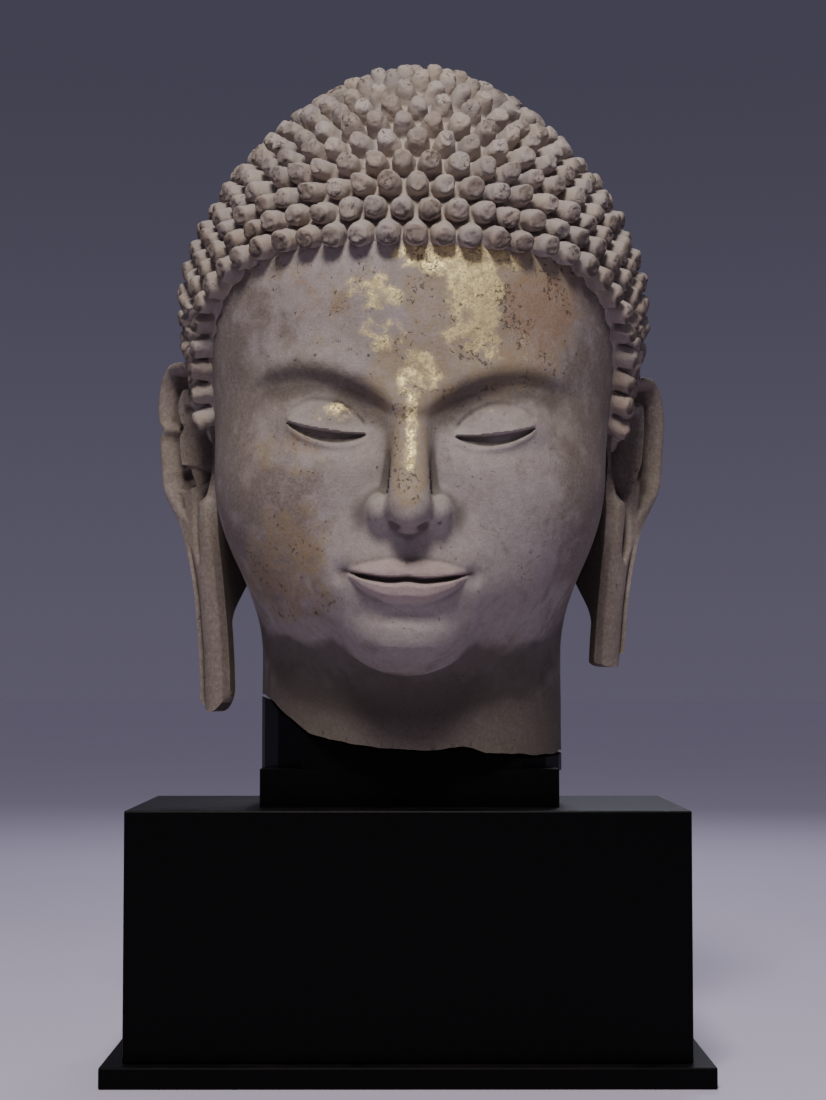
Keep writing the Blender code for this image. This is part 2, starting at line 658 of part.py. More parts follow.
def ear_mesh(side, top, end, tip):
    mesh = bmesh.new()
    rows, columns = EAR_ROWS, EAR_COLUMNS
    share = np.linspace(0, 1, rows)[:, None]
    across = (1 - np.cos(np.linspace(0, math.pi, columns))) / 2
    chip = LOBE_CHIP * smoothstep(0.70, 0.80, across) if side > 0 else 0.0
    low = end + chip + tip * (1 - np.sqrt(1 - 0.98 * (2 * across - 1) ** 2))
    z = top - 0.0006 - share * (top - 0.0006 - low)
    broken = 1.0 if side < 0 else 0.0
    front, back = ear_outline(z, top, top - EAR_CROWN, broken)
    s = front + across * (back - front)
    height = ear_relief(s, z, front, back, top, broken)
    edge = np.minimum(smoothstep(0, 0.10, across), smoothstep(1, 0.93, across))
    height = height * (0.30 + 0.70 * edge)
    depth = 0.007 + 0.033 * smoothstep(0.080, 0.020, s) * smoothstep(-0.195, -0.140, z)
    depth = depth * (0.35 + 0.65 * smoothstep(1, 0.8, across))
    splay = ear_splay(z)
    grids = []
    for offset in (height, -depth):
        x, f = ear_root(z)
        x = x + s * np.sin(splay) + offset * np.cos(splay)
        f = f - s * np.cos(splay) + offset * np.sin(splay)
        p = np.stack([side * x, -f, z], -1) + HEAD_CENTRE
        grids.append([[mesh.verts.new(v) for v in row] for row in p])
    outer, inner = grids
    for grid in grids:
        for i in range(rows - 1):
            for j in range(columns - 1):
                mesh.faces.new((grid[i][j], grid[i + 1][j], grid[i + 1][j + 1], grid[i][j + 1]))
    around = [(i, 0) for i in range(rows)] + [(rows - 1, j) for j in range(1, columns)]
    around += [(i, columns - 1) for i in range(rows - 2, -1, -1)]
    around += [(0, j) for j in range(columns - 2, 0, -1)]
    for (i, j), (k, m) in zip(around, around[1:] + around[:1]):
        mesh.faces.new((outer[i][j], outer[k][m], inner[k][m], inner[i][j]))
    bmesh.ops.recalc_face_normals(mesh, faces=mesh.faces)
    bmesh.ops.triangulate(mesh, faces=mesh.faces)
    return mesh


# Break, stand and assembly
def break_mesh(drop):
    """Slab that ends above in the broken surface, lowered by a drop."""
    mesh = bmesh.new()
    top, bottom = [], []
    for x, front, back in BREAK_STATIONS:
        for f, z in ((0.20, front), (BREAK_FRONT, front), (BREAK_BACK, back), (-0.22, back)):
            top.append(mesh.verts.new((x, -f, POST_TOP + z - drop)))
            bottom.append(mesh.verts.new((x, -f, 0.01)))
    for i in range(len(BREAK_STATIONS) - 1):
        for j in range(3):
            for layer in (top, bottom):
                a, b = layer[4 * i + j], layer[4 * i + j + 1]
                c, d = layer[4 * i + j + 5], layer[4 * i + j + 4]
                mesh.faces.new((a, b, c))
                mesh.faces.new((a, c, d))
    last = 4 * (len(BREAK_STATIONS) - 1)
    around = list(range(0, last + 1, 4)) + [last + 1, last + 2]
    around += list(range(last + 3, 2, -4)) + [2, 1]
    for a, b in zip(around, around[1:] + around[:1]):
        mesh.faces.new((top[a], top[b], bottom[b], bottom[a]))
    bmesh.ops.recalc_face_normals(mesh, faces=mesh.faces)
    return mesh


def box_mesh(width, depth, low, high, centre_x=0.0, rounding=0.0):
    mesh = bmesh.new()
    bmesh.ops.create_cube(mesh, size=1)
    for vert in mesh.verts:
        vert.co = (vert.co.x * width + centre_x, vert.co.y * depth, low + (vert.co.z + 0.5) * (high - low))
    if rounding:
        bmesh.ops.bevel(mesh, geom=mesh.edges[:], offset=rounding, segments=2, profile=0.5, affect="EDGES")
    return mesh


def scribe_mesh(low):
    """Upper part of the post: as deep as the post, and no wider than the oval neck that it carries."""
    mesh = bmesh.new()
    ring = []
    for turn in np.linspace(0, 2 * math.pi, SCRIBE_SIDES, endpoint=False):
        y = NECK_BACK + NECK_HALF_DEPTH * math.sin(turn)
        ring.append((NECK_HALF_WIDTH * math.cos(turn), min(max(y, -POST_DEPTH / 2), POST_DEPTH / 2)))
    high = POST_TOP + max(station[1] for station in BREAK_STATIONS)
    rings = [[mesh.verts.new((x + HEAD_OFFSET_X, y, z)) for x, y in ring] for z in (low, high)]
    for a, b in zip(range(len(ring)), list(range(1, len(ring))) + [0]):
        mesh.faces.new((rings[0][a], rings[0][b], rings[1][b], rings[1][a]))
    for one in rings:
        mesh.faces.new(one)
    bmesh.ops.recalc_face_normals(mesh, faces=mesh.faces)
    return mesh


def helper(name, mesh, material):
    """A shape that only cuts or joins another one."""
    body = add_object(name, mesh, material)
    body.hide_render = True
    body.display_type = "WIRE"
    return body


def combine(body, other, operation):
    step = body.modifiers.new(operation.title(), "BOOLEAN")
    step.operation = operation
    step.solver = "EXACT"
    step.object = other


def material(name, colour, roughness):
    finish = bpy.data.materials.new(name)
    finish.use_nodes = True
    shader = finish.node_tree.nodes["Principled BSDF"]
    shader.inputs["Base Color"].default_value = colour
    shader.inputs["Roughness"].default_value = roughness
    return finish


def build():
    for item in list(bpy.data.objects):
        bpy.data.objects.remove(item, do_unlink=True)
    stone = material("limestone", STONE_COLOUR, 0.85)
    black = material("black_stand", STAND_COLOUR, 0.45)
    head = add_object("head", head_mesh(), stone)
    ears = (
        ("ear_left", -1, EAR_TOP_LEFT, LOBE_END_LEFT, LOBE_TIP_LEFT),
        ("ear_right", 1, EAR_TOP_RIGHT, LOBE_END_RIGHT, LOBE_TIP_RIGHT),
    )
    for name, side, top, end, tip in ears:
        combine(head, helper(name, ear_mesh(side, top, end, tip), stone), "UNION")
    combine(head, helper("neck_break", break_mesh(0.0), stone), "DIFFERENCE")
    scribe_bottom = POST_TOP + min(station[1] for station in BREAK_STATIONS) - SCRIBE_LEDGE
    post = add_object("support_post", box_mesh(POST_WIDTH, POST_DEPTH, POST_BOTTOM, scribe_bottom,
                                               POST_OFFSET_X), black)
    combine(post, helper("post_scribe", scribe_mesh(scribe_bottom - SCRIBE_LEDGE), black), "UNION")
    combine(post, helper("post_break", break_mesh(FIT_GAP), black), "INTERSECT")
    add_object("stand_body", box_mesh(BODY_WIDTH, BODY_DEPTH, BODY_BOTTOM, BODY_TOP,
                                      rounding=EDGE_ROUNDING), black)
    plinth_width = BODY_WIDTH + 2 * PLINTH_OVERHANG
    plinth_depth = BODY_DEPTH + 2 * PLINTH_OVERHANG
    add_object("stand_plinth", box_mesh(plinth_width, plinth_depth, 0.0, PLINTH_HEIGHT,
                                        rounding=EDGE_ROUNDING), black)


build()
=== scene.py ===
"""Looks of a carved stone head on its black stand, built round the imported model. Metres, +Z up."""
import math

import bmesh
import bpy
import numpy as np
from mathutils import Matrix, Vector, noise
from mathutils.geometry import delaunay_2d_cdt
from mathutils.kdtree import KDTree


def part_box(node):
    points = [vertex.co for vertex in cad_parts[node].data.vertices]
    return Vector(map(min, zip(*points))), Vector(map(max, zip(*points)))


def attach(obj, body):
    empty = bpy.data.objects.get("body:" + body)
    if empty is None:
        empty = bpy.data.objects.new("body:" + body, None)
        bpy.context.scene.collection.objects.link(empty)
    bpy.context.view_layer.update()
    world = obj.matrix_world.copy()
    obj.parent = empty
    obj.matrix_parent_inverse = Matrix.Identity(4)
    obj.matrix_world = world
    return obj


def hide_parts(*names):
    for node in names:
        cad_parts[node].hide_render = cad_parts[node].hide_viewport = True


bl_info = {
    "name": "Stone head on a stand",
    "version": (1, 0, 0),
    "blender": (4, 5, 0),
    "location": "3D View > Sidebar > Stone head",
    "description": "Carves a weathered, partly gilded stone head with a cap of curls and finishes its stand",
    "category": "Add Mesh",
}

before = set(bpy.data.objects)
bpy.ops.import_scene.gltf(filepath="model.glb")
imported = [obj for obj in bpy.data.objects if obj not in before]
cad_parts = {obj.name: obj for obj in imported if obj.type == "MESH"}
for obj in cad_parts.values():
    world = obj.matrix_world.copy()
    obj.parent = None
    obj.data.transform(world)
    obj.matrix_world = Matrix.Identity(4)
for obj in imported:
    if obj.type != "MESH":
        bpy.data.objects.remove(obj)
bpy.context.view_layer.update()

# Head: its place on the post, its lean and its neck, as in the solid
FIT_GAP = 0.0003
POST_HEIGHT = 0.054
HEAD_RADIUS = 0.2
HEAD_ABOVE_POST = 0.307
HEAD_OFFSET_X = 0.0035
NOD = math.radians(5.0)
ROLL = math.radians(1.3)
NECK_HALF_WIDTH = 0.1420
NECK_HALF_DEPTH = 0.128
NECK_BACK = 0.020
NECK_SINK = 0.035
NECK_TOP = -0.10
NECK_BLEND = 0.045
NECK_RINGS_BEGIN = -0.262
# Places across the neck, and heights of the broken underside at its front and back
BREAK_STATIONS = (
    (-0.150, 0.054, 0.046),
    (-0.134, 0.046, 0.041),
    (-0.116, 0.027, 0.036),
    (-0.090, 0.006, 0.024),
    (-0.045, -0.003, 0.016),
    (0.000, -0.007, 0.013),
    (0.050, -0.005, 0.008),
    (0.090, -0.013, 0.006),
    (0.134, -0.015, 0.002),
    (0.150, -0.016, 0.000),
)
BREAK_FRONT = 0.130
BREAK_BACK = -0.170
BREAK_ROWS = 91
BREAK_COLUMNS = 127
BREAK_SLAB = 0.10
BREAK_SLAB_SIDE = 0.150
BREAK_SLAB_BACK = -0.22
BREAK_SLAB_FRONT = 0.20

# Face, in the head's own frame: x across, f forward, z up
HAIRLINE_Z = 0.128
FACE_HEIGHT = 0.368
FACE_WIDTH = 0.370
FACE_SIDE = 0.152
FACE_BACK = 0.075
THIRD = FACE_HEIGHT / 3
BROW_Z = HAIRLINE_Z - THIRD
NOSE_Z = BROW_Z - THIRD
CHIN_Z = NOSE_Z - THIRD
EYE_Z = BROW_Z - THIRD / 4
MOUTH_Z = NOSE_Z - THIRD / 3
EYE_WIDTH = FACE_WIDTH / 5
LIP_HALF = EYE_WIDTH * 0.74

# Hair curls
CURL_PITCH_FRONT = 0.0230
CURL_PITCH_BACK = 0.0270
CURL_ROW_PITCH = 0.0280
CURL_DROOP = 0.22
CURL_TURN_BEGINS = 0.36
CURL_TURN_ENDS = 0.90
CROWN_POLE_LEAN = math.radians(37)
HAIR_ROOT = 0.009
# Height and girth of a curl's rings, as shares; how round each ring is; how far it counts as the curl's end
CURL_RINGS = (
    (0.26, 1.06, 0.35, 0.00),
    (0.78, 0.95, 0.90, 0.15),
    (0.950, 0.76, 1.00, 0.85),
    (1.00, 0.44, 1.00, 1.00),
)
SCALP_SINK = 0.006
CURL_SHAKE = 0.05
CURL_SIDE_SHAKE = 0.16
CURL_BUMP_SCALE = 70.0
CURL_PIT_SCALE = 150.0

# Steps and finish of the mesh
HEX_ROW = 0.866
HAIR_ELEVATION = 0.10
SHARP_ANGLE = math.radians(48)
HEAD_HOLLOW_ROUNDS = 24
CURL_HOLLOW_ROUNDS = 12

# Ears: heights, and distance of the outer edge from the middle
EAR_EDGE = (
    (-0.280, 0.2005),
    (-0.225, 0.2020),
    (-0.170, 0.2065),
    (-0.140, 0.2110),
    (-0.110, 0.2180),
    (-0.078, 0.2280),
    (-0.040, 0.2320),
    (-0.008, 0.2350),
    (0.034, 0.2380),
    (0.070, 0.2380),
)
EAR_SPLAY = math.radians(36)
LOBE_SPLAY = math.radians(58)
LOBE_CHIP = 0.011
EAR_CROWN = 0.052
EAR_STEP = 0.0018
EAR_TOP_GAP = 0.0006
# Side, top, end of the lobe and how far the lobe's tip is rounded
EARS = (
    (-1, 0.0625, -0.2765, 0.024),
    (1, 0.0480, -0.2345, 0.006),
)

# Surroundings
FLOOR_RADIUS = 40.0
HORIZON = (0.116, 0.105, 0.152, 1.0)
BACKDROP = (0.061, 0.058, 0.087, 1.0)
OVERHEAD = (0.320, 0.310, 0.350, 1.0)
CAMERA_LENS = 71.64
SENSOR_WIDTH = 36
CAMERA_PLACE = (0, -2.065, 0.3524)
CAMERA_TURN = (math.radians(93.45), 0, math.radians(-0.13))
# Name, place, target, size, power and tint of each lamp
LAMPS = (
    ("key", (-0.14, -1.85, 2.55), (0.0, -0.10, 0.64), 0.65, 80.0, (1.0, 0.955, 0.89)),
    ("back", (0.5, 2.7, 2.3), (0.0, 0.0, 0.60), 1.2, 26.0, (0.86, 0.88, 1.0)),
)

# Point inside the head from which rays find its surface, and how far out they and the frontal ones start
STAR = np.array([0.0, 0.0, 0.02])
RAY_START = 0.48
FRONT_PLANE = 0.30
POST_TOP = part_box("stand_body")[1].z + FIT_GAP + POST_HEIGHT
HEAD_CENTRE = np.array([HEAD_OFFSET_X, 0.0, POST_TOP + HEAD_ABOVE_POST])


# Sizes and colours that a user would change
def length(name, text, default):
    return bpy.props.FloatProperty(name=name, description=text, default=default, min=0.0, unit="LENGTH",
                                   precision=4)


def colour(name, text, default):
    return bpy.props.FloatVectorProperty(name=name, description=text, default=default, size=3, min=0.0,
                                         max=1.0, subtype="COLOR")


class HeadSettings(bpy.types.PropertyGroup):
    """Mesh sizes of the carved head"""
    fine_step: length("Fine step", "Mesh size at eyes, nose and mouth", 0.0015)
    face_step: length("Face step", "Mesh size on forehead and cheeks", 0.0030)
    side_step: length("Side step", "Mesh size on temples, nape and neck", 0.0045)
    wear: length("Wear", "Depth of the uneven, worn surface", 0.0007)
    break_depth: length("Break depth", "Roughness of the broken neck", 0.0035)


class CurlSettings(bpy.types.PropertyGroup):
    """Sizes of the hair curls"""
    height: length("Height", "How far a curl stands out of the scalp", 0.0205)
    radius: length("Radius", "Radius of a curl's shaft", 0.0128)
    wander: length("Wander", "How far the curls stray from their rows", 0.0011)
    wear: length("Wear", "Depth of the pits and chips in the curls", 0.0016)
    rounding: bpy.props.IntProperty(name="Rounding", description="Subdivision steps", default=2, min=1,
                                    max=3)
    seed: bpy.props.IntProperty(name="Seed", description="Seed of the uneven carving", default=11)


class ColourSettings(bpy.types.PropertyGroup):
    """Colours of stone, stains, gilding and stand"""
    stone: colour("Stone", "Bare stone", (0.282, 0.237, 0.212))
    pale: colour("Pale stone", "Cleaner mauve stone", (0.335, 0.291, 0.287))
    brown: colour("Brown stain", "Old brown staining", (0.120, 0.088, 0.066))
    ochre: colour("Ochre", "Ground under the gilding", (0.300, 0.215, 0.100))
    rust: colour("Rust red", "Red ground under the gilding", (0.270, 0.150, 0.090))
    gold: colour("Gold", "Gold leaf", (0.930, 0.770, 0.400))
    gold_ground: colour("Gold ground", "Yellow ground under the worn leaf", (0.390, 0.300, 0.120))
    # Grime in pits, and also the colour of painted shade in hollows, under the chin and brows and under the
    # curls' ends
    dirt_and_shade: colour("Dirt", "Dirt in hollows and pits", (0.040, 0.031, 0.024))
    lip: colour("Lip", "Faded paint on the lips", (0.420, 0.300, 0.290))
    hair: colour("Hair", "Dusty stone of the curls", (0.390, 0.325, 0.272))
    # Curl ends: grime and painted shade on the ends of the curls
    curl_end_grime_and_shade: colour("Curl ends", "Dirt on the ends of the curls", (0.105, 0.074, 0.060))
    stand: colour("Stand", "Black lacquer of the stand", (0.0008, 0.0008, 0.0010))
    floor: colour("Floor", "Floor", (0.560, 0.510, 0.660))


# Distance fields
def smoothstep(a, b, v):
    t = np.clip((v - a) / (b - a), 0, 1)
    return t * t * (3 - 2 * t)


def bump(v, width):
    return np.exp(-((v / width) ** 2))


def join(a, b, k):
    """Union of two distance fields, rounded over a width k."""
    h = np.maximum(k - np.abs(a - b), 0) / k
    return np.minimum(a, b) - h * h * k / 4


def carve(a, b, k):
    """The first field with a rounded hollow pressed in where the second one is positive outside."""
    return -join(-a, b, k)


def ellipsoid(p, centre, radii):
    q = (p - np.array(centre)) / np.array(radii)
    k0 = np.linalg.norm(q, axis=-1)
    k1 = np.linalg.norm(q / np.array(radii), axis=-1) + 1e-9
    return k0 * (k0 - 1) / k1


def tapered_bar(p, start, end, start_radius, end_radius):
    start, end = np.array(start), np.array(end)
    t = np.clip(((p - start) @ (end - start)) / ((end - start) @ (end - start)), 0, 1)
    near = start + t[..., None] * (end - start)
    return np.linalg.norm(p - near, axis=-1) - (start_radius + (end_radius - start_radius) * t)


def unit(v):
    return v / np.linalg.norm(v, axis=-1, keepdims=True)


# Head frame and stand frame
def lean_matrix():
    """Turns the head's own axes (x, f, z) by its nod and its roll; f stays forward."""
    cn, sn = math.cos(NOD), math.sin(NOD)
    cr, sr = math.cos(ROLL), math.sin(ROLL)
    nod = np.array([[1, 0, 0], [0, cn, sn], [0, -sn, cn]])
    roll = np.array([[cr, 0, sr], [0, 1, 0], [-sr, 0, cr]])
    return roll @ nod


LEAN = lean_matrix()
LEAN_LIFT = np.array([0.0, 0.0, math.sin(NOD) * HEAD_RADIUS])


def upright(q):
    """From the head's frame to upright axes through the head's centre."""
    return q @ LEAN.T + LEAN_LIFT


def leaning(p):
    return (p - LEAN_LIFT) @ LEAN


def turned(p):
    """Upright axes to world axes: forward is -Y."""
    return p * np.array([1, -1, 1])


def to_world(q):
    return turned(upright(q)) + HEAD_CENTRE


def to_head(w):
    return leaning(turned(w - HEAD_CENTRE))


# The bald head
def skull(m):
    """Cranium, crown mound, face, cheeks and jaw; m has x as a distance from the middle."""
    d = ellipsoid(m, (0, -0.020, 0.084), (0.205, 0.214, 0.180))
    d = join(d, ellipsoid(m, (0, -0.022, 0.155), (0.104, 0.109, 0.134)), 0.085)
    d = join(d, ellipsoid(m, (0, 0.015, -0.050), (0.181, 0.178, 0.190)), 0.050)
    d = join(d, ellipsoid(m, (0.068, 0.075, -0.092), (0.095, 0.103, 0.098)), 0.050)
    return join(d, ellipsoid(m, (0, 0.088, -0.165), (0.115, 0.100, 0.078)), 0.050)


def neck(p):
    """Upright oval column under the head; p has upright axes."""
    q = p[..., :2] - np.array([0.0, -NECK_BACK])
    oval = np.linalg.norm(q / np.array([NECK_HALF_WIDTH, NECK_HALF_DEPTH]), axis=-1)
    return np.maximum((oval - 1) * NECK_HALF_DEPTH, p[..., 2] - NECK_TOP)


def brow_line(s):
    t = np.clip((s - 0.014) / 0.130, 0, 1)
    return BROW_Z - 0.024 + 0.043 * np.sin(math.pi * (0.06 + 0.66 * t)) - 0.004 * t


def lid_lines(s):
    """Heights of the upper and the lower lid's edge, the arch from corner to corner and the corners."""
    t = np.clip(s / EYE_WIDTH - 0.5, 0, 1)
    corner = EYE_Z - 0.011 + 0.010 * t
    arch = 4 * t * (1 - t)
    return corner - 0.0030 * arch, corner - 0.0135 * arch ** 0.8, arch, corner


def lip_lines(s):
    """Heights of the line between the lips and of the lips' outer borders."""
    u = np.clip(s / LIP_HALF, 0, 1)
    width = np.clip(1 - u ** 2, 0, 1)
    line = MOUTH_Z - 0.0030 * width ** 2 + 0.0020 * bump(s, 0.010) + 0.0030 * u ** 3
    top = line + 0.0190 * width ** 0.85 - 0.0040 * bump(s, 0.008)
    return line, top, line - 0.0225 * width ** 0.70, u


def features(m):
    """Sockets, eyes, nose, mouth mound and chin, joined to the skull."""
    d = skull(m)
    d = carve(d, ellipsoid(m, (0.068, 0.232, EYE_Z + 0.006), (0.058, 0.052, 0.030)), 0.030)
    d = join(d, ellipsoid(m, (EYE_WIDTH, 0.139, EYE_Z - 0.004), (0.047, 0.046, 0.033)), 0.010)
    nose = tapered_bar(m, (0, 0.187, BROW_Z - 0.012), (0, 0.2245, NOSE_Z + 0.0205), 0.0125, 0.0195)
    nose = join(nose, ellipsoid(m, (0.0235, 0.205, NOSE_Z + 0.0150), (0.0135, 0.0175, 0.0145)), 0.008)
    nose = join(nose, ellipsoid(m, (0, 0.222, NOSE_Z + 0.0110), (0.011, 0.020, 0.011)), 0.010)
    nose = np.maximum(nose, NOSE_Z - 0.002 + 0.30 * (m[..., 1] - 0.213) - m[..., 2])
    d = join(d, nose, 0.016)
    d = carve(d, ellipsoid(m, (0.0125, 0.222, NOSE_Z - 0.001), (0.0062, 0.0125, 0.0075)), 0.004)
    d = join(d, ellipsoid(m, (0, 0.160, MOUTH_Z + 0.002), (0.066, 0.050, 0.044)), 0.035)
    return join(d, ellipsoid(m, (0, 0.163, CHIN_Z + 0.030), (0.045, 0.042, 0.032)), 0.035)


def eye_relief(s, z):
    upper, lower, arch, corner = lid_lines(s)
    lid = smoothstep(0, 0.25, arch)
    out = -0.0040 * smoothstep(0, 0.0014, upper - z) * smoothstep(0, 0.0020, z - lower) * (arch > 0)
    out += 0.0022 * bump(z - upper - 0.0012, 0.0042) * lid * (z > upper)
    out += 0.0016 * bump(z - lower + 0.0022, 0.0030) * lid
    return out - 0.0017 * bump(z - corner - 0.0035 - 0.0200 * arch ** 0.8, 0.0020) * lid


def lip_relief(s, z):
    line, top, low, u = lip_lines(s)
    up = (z - line) / np.maximum(top - line, 1e-4)
    down = (line - z) / np.maximum(line - low, 1e-4)
    upper_lip = smoothstep(1.08, 0.80, up) * (0.55 + 0.45 * smoothstep(1.0, 0.25, up))
    upper_lip = upper_lip * smoothstep(-0.02, 0.16, up)
    lower_lip = smoothstep(1.10, 0.62, down) * smoothstep(-0.02, 0.30, down)
    out = (0.0078 * upper_lip + 0.0090 * lower_lip) * smoothstep(1.0, 0.72, u)
    out -= 0.0022 * bump(z - line, 0.0018) * smoothstep(1.10, 0.95, s / LIP_HALF)
    return out - 0.0050 * bump(s - LIP_HALF - 0.002, 0.0080) * bump(z - MOUTH_Z - 0.001, 0.009)


def face_relief(s, z):
    """How far brows, lids and lips stand forward of the plain features."""
    crest = brow_line(s)
    rim = np.where(z > crest, bump(z - crest, 0.020), smoothstep(-0.013, 0.0, z - crest))
    out = 0.0060 * rim * smoothstep(0.158, 0.120, s) + eye_relief(s, z)
    groove = smoothstep(MOUTH_Z + 0.012, MOUTH_Z + 0.022, z) * smoothstep(NOSE_Z, NOSE_Z - 0.008, z)
    out -= 0.0024 * bump(s, 0.0070) * groove
    return out + lip_relief(s, z) - 0.0040 * bump(s, 0.034) * bump(z - MOUTH_Z + 0.034, 0.0085)


def folded(q):
    """The same points with x as a distance from the middle."""
    m = q.copy()
    m[..., 0] = np.abs(m[..., 0])
    return m


def bald_head(q):
    """Distance field of the whole head without hair and ears, in the head's frame."""
    m = folded(q)
    m[..., 1] -= face_relief(m[..., 0], m[..., 2]) * smoothstep(0.02, 0.09, m[..., 1])
    return join(features(m), neck(upright(q)), NECK_BLEND)


def scalp(q):
    return join(skull(folded(q)), neck(upright(q)), NECK_BLEND)


def lift(directions, field):
    """Points where rays from the star point leave the field's solid."""
    t = np.full(len(directions), RAY_START)
    for _ in range(60):
        t -= np.clip(field(STAR + directions * t[:, None]) * 0.5, -0.01, 0.05)
    return STAR + directions * t[:, None]


def front_points(spots, field):
    """Points of a field seen from straight ahead at the given (x, z) spots."""
    p = np.stack([spots[:, 0], np.full(len(spots), FRONT_PLANE), spots[:, 1]], -1)
    for _ in range(80):
        p[:, 1] -= np.clip(field(p) * 0.5, -0.01, 0.02)
    return p


def outward(points, field):
    """Unit normals of a field at its surface."""
    step = 0.002
    grad = np.zeros_like(points)
    for axis in range(3):
        shift = np.zeros(3)
        shift[axis] = step
        grad[:, axis] = field(points + shift) - field(points - shift)
    return unit(grad)


# Places of the hair curls
def hairline_points():
    """Right half of the hairline, from the middle of the forehead to the nape."""
    return np.array([
        (0.000, 0.190, HAIRLINE_Z), (0.060, 0.182, HAIRLINE_Z), (0.120, 0.150, HAIRLINE_Z - 0.004),
        (0.150, 0.120, HAIRLINE_Z - 0.021), (0.170, 0.090, HAIRLINE_Z - 0.048),
        (0.177, 0.068, HAIRLINE_Z - 0.075), (0.179, 0.050, HAIRLINE_Z - 0.115),
        (0.180, 0.035, HAIRLINE_Z - 0.158), (0.186, -0.005, HAIRLINE_Z - 0.150),
        (0.183, -0.050, HAIRLINE_Z - 0.185), (0.135, -0.130, HAIRLINE_Z - 0.265),
        (0.070, -0.175, HAIRLINE_Z - 0.290), (0.000, -0.185, HAIRLINE_Z - 0.295),
    ])


def pole_axes():
    """Crown pole of the curl rows, and two axes square to it; the first looks to the front."""
    pole = np.array([0.0, -math.sin(CROWN_POLE_LEAN), math.cos(CROWN_POLE_LEAN)])
    ahead = np.array([0.0, math.cos(CROWN_POLE_LEAN), math.sin(CROWN_POLE_LEAN)])
    return pole, ahead, np.array([1.0, 0.0, 0.0])


def hairline_angle(bearing):
    """Angle from the crown pole to the hairline at a bearing from the front."""
    pole, ahead, aside = pole_axes()
    d = unit(hairline_points() - STAR)
    turn = np.arctan2(d @ aside, d @ ahead)
    drop = np.arccos(d @ pole)
    order = np.argsort(turn)
    return np.interp(np.abs(bearing), turn[order], drop[order])


def polar(bearing, drop):
    pole, ahead, aside = pole_axes()
    side = np.cos(bearing)[:, None] * ahead + np.sin(bearing)[:, None] * aside
    return np.cos(drop)[:, None] * pole + np.sin(drop)[:, None] * side


def curl_pitch(bearing):
    t = smoothstep(math.radians(75), math.radians(140), np.abs(bearing))
    return CURL_PITCH_FRONT + (CURL_PITCH_BACK - CURL_PITCH_FRONT) * t


def row_bearings(share_up, staggered):
    """Bearings of one row's curls; the share runs from 0 at the hairline to 1 at the crown pole."""
    b = np.linspace(0, math.pi, 181)
    p = lift(polar(b, hairline_angle(b) * (1 - share_up)), scalp)
    gap = np.linalg.norm(np.diff(p, axis=0), axis=1) / curl_pitch((b[1:] + b[:-1]) / 2)
    run = np.concatenate([[0], np.cumsum(gap)])
    start = 0.5 if staggered else 0.0
    halves = max(1, round(2 * run[-1]) - round(2 * start))
    places = start + np.arange(0, halves / 2 + 0.01)
    right = np.interp(places * run[-1] / (start + halves / 2), run, b)
    left = -right[(right > 1e-6) & (right < math.pi - 1e-6)]
    return np.concatenate([right, left])


def curl_sites(settings):
    """Directions of the curls, and after them those of a ring just outside the hairline."""
    front = lift(polar(np.zeros(40), hairline_angle(np.zeros(1)) * np.linspace(0, 1, 40)), scalp)
    rows = round(np.linalg.norm(np.diff(front, axis=0), axis=1).sum() / CURL_ROW_PITCH)
    rng = np.random.default_rng(settings.seed)
    curls, ring = [], []
    for row in range(-1, rows):
        share_up = (row + 0.5) / rows
        bearing = row_bearings(share_up, row % 2 == 1)
        if row == rows - 1:
            bearing = bearing[:3]
        d = polar(bearing, hairline_angle(bearing) * (1 - share_up))
        shake = rng.normal(0, settings.wander / HEAD_RADIUS, d.shape) if row > 0 else 0
        (ring if row < 0 else curls).append(unit(d + shake))
    return np.concatenate(curls), np.concatenate(ring)


def flat_map(d):
    """Stereographic map from straight below, which keeps circles round."""
    return d[:, :2] / (1 + d[:, 2:3])


def triangulate(points, edges):
    """Triangles over flat points that keep the given edges, as indices of the points."""
    verts = [Vector(p) for p in points.tolist()]
    _, _, faces, origin, _, _ = delaunay_2d_cdt(verts, edges, [], 0, 1e-7)
    back = [o[0] if o else -1 for o in origin]
    return np.array([[back[i] for i in f] for f in faces])


def compact(loops, count):
    """The corners that the loops use, of all in that count, and the loops renumbered to them."""
    used = np.unique(np.concatenate(loops))
    index = np.full(count, -1)
    index[used] = np.arange(len(used))
    return used, [index[loop] for loop in loops]


def rim_edges(loops):
    """The edges that belong to one loop only."""
    edges = [(int(a), int(b)) for loop in loops for a, b in zip(loop, np.roll(loop, -1))]
    seen = set(edges)
    return [(a, b) for a, b in edges if (b, a) not in seen]


def curl_cells(curls, ring):
    """Corners of the valleys between curls, as directions, and each curl's loop of them."""
    sites = np.concatenate([curls, ring])
    triangles = triangulate(flat_map(sites), [])
    a, b, c = sites[triangles[:, 0]], sites[triangles[:, 1]], sites[triangles[:, 2]]
    corners = unit(np.cross(b - a, c - a))
    corners *= np.sign((corners * a).sum(1))[:, None]
    loops = []
    for i, site in enumerate(curls):
        near = np.nonzero((triangles == i).any(1))[0]
        e1 = unit(np.cross(site, [0.0, 1.0, 0.3]))
        e2 = np.cross(site, e1)
        arc = corners[near] - site
        loops.append(near[np.argsort(np.arctan2(arc @ e2, arc @ e1))])
    used, loops = compact(loops, len(corners))
    return corners[used], loops


def outline_of(loops):
    """The closed chain of loop edges that belong to one curl only."""
    follow = dict(rim_edges(loops))
    chain = [next(iter(follow))]
    while follow[chain[-1]] != chain[0]:
        chain.append(follow[chain[-1]])
    return chain


def curl_axis(normal):
    """Curls droop a little on the sides and over the brow, and turn upright towards the top."""
    top = smoothstep(CURL_TURN_BEGINS, CURL_TURN_ENDS, normal[:, 2:3])
    rise = normal[:, 2:3] * top - CURL_DROOP * (1 - top)
    return unit(np.concatenate([normal[:, :2], rise], 1))


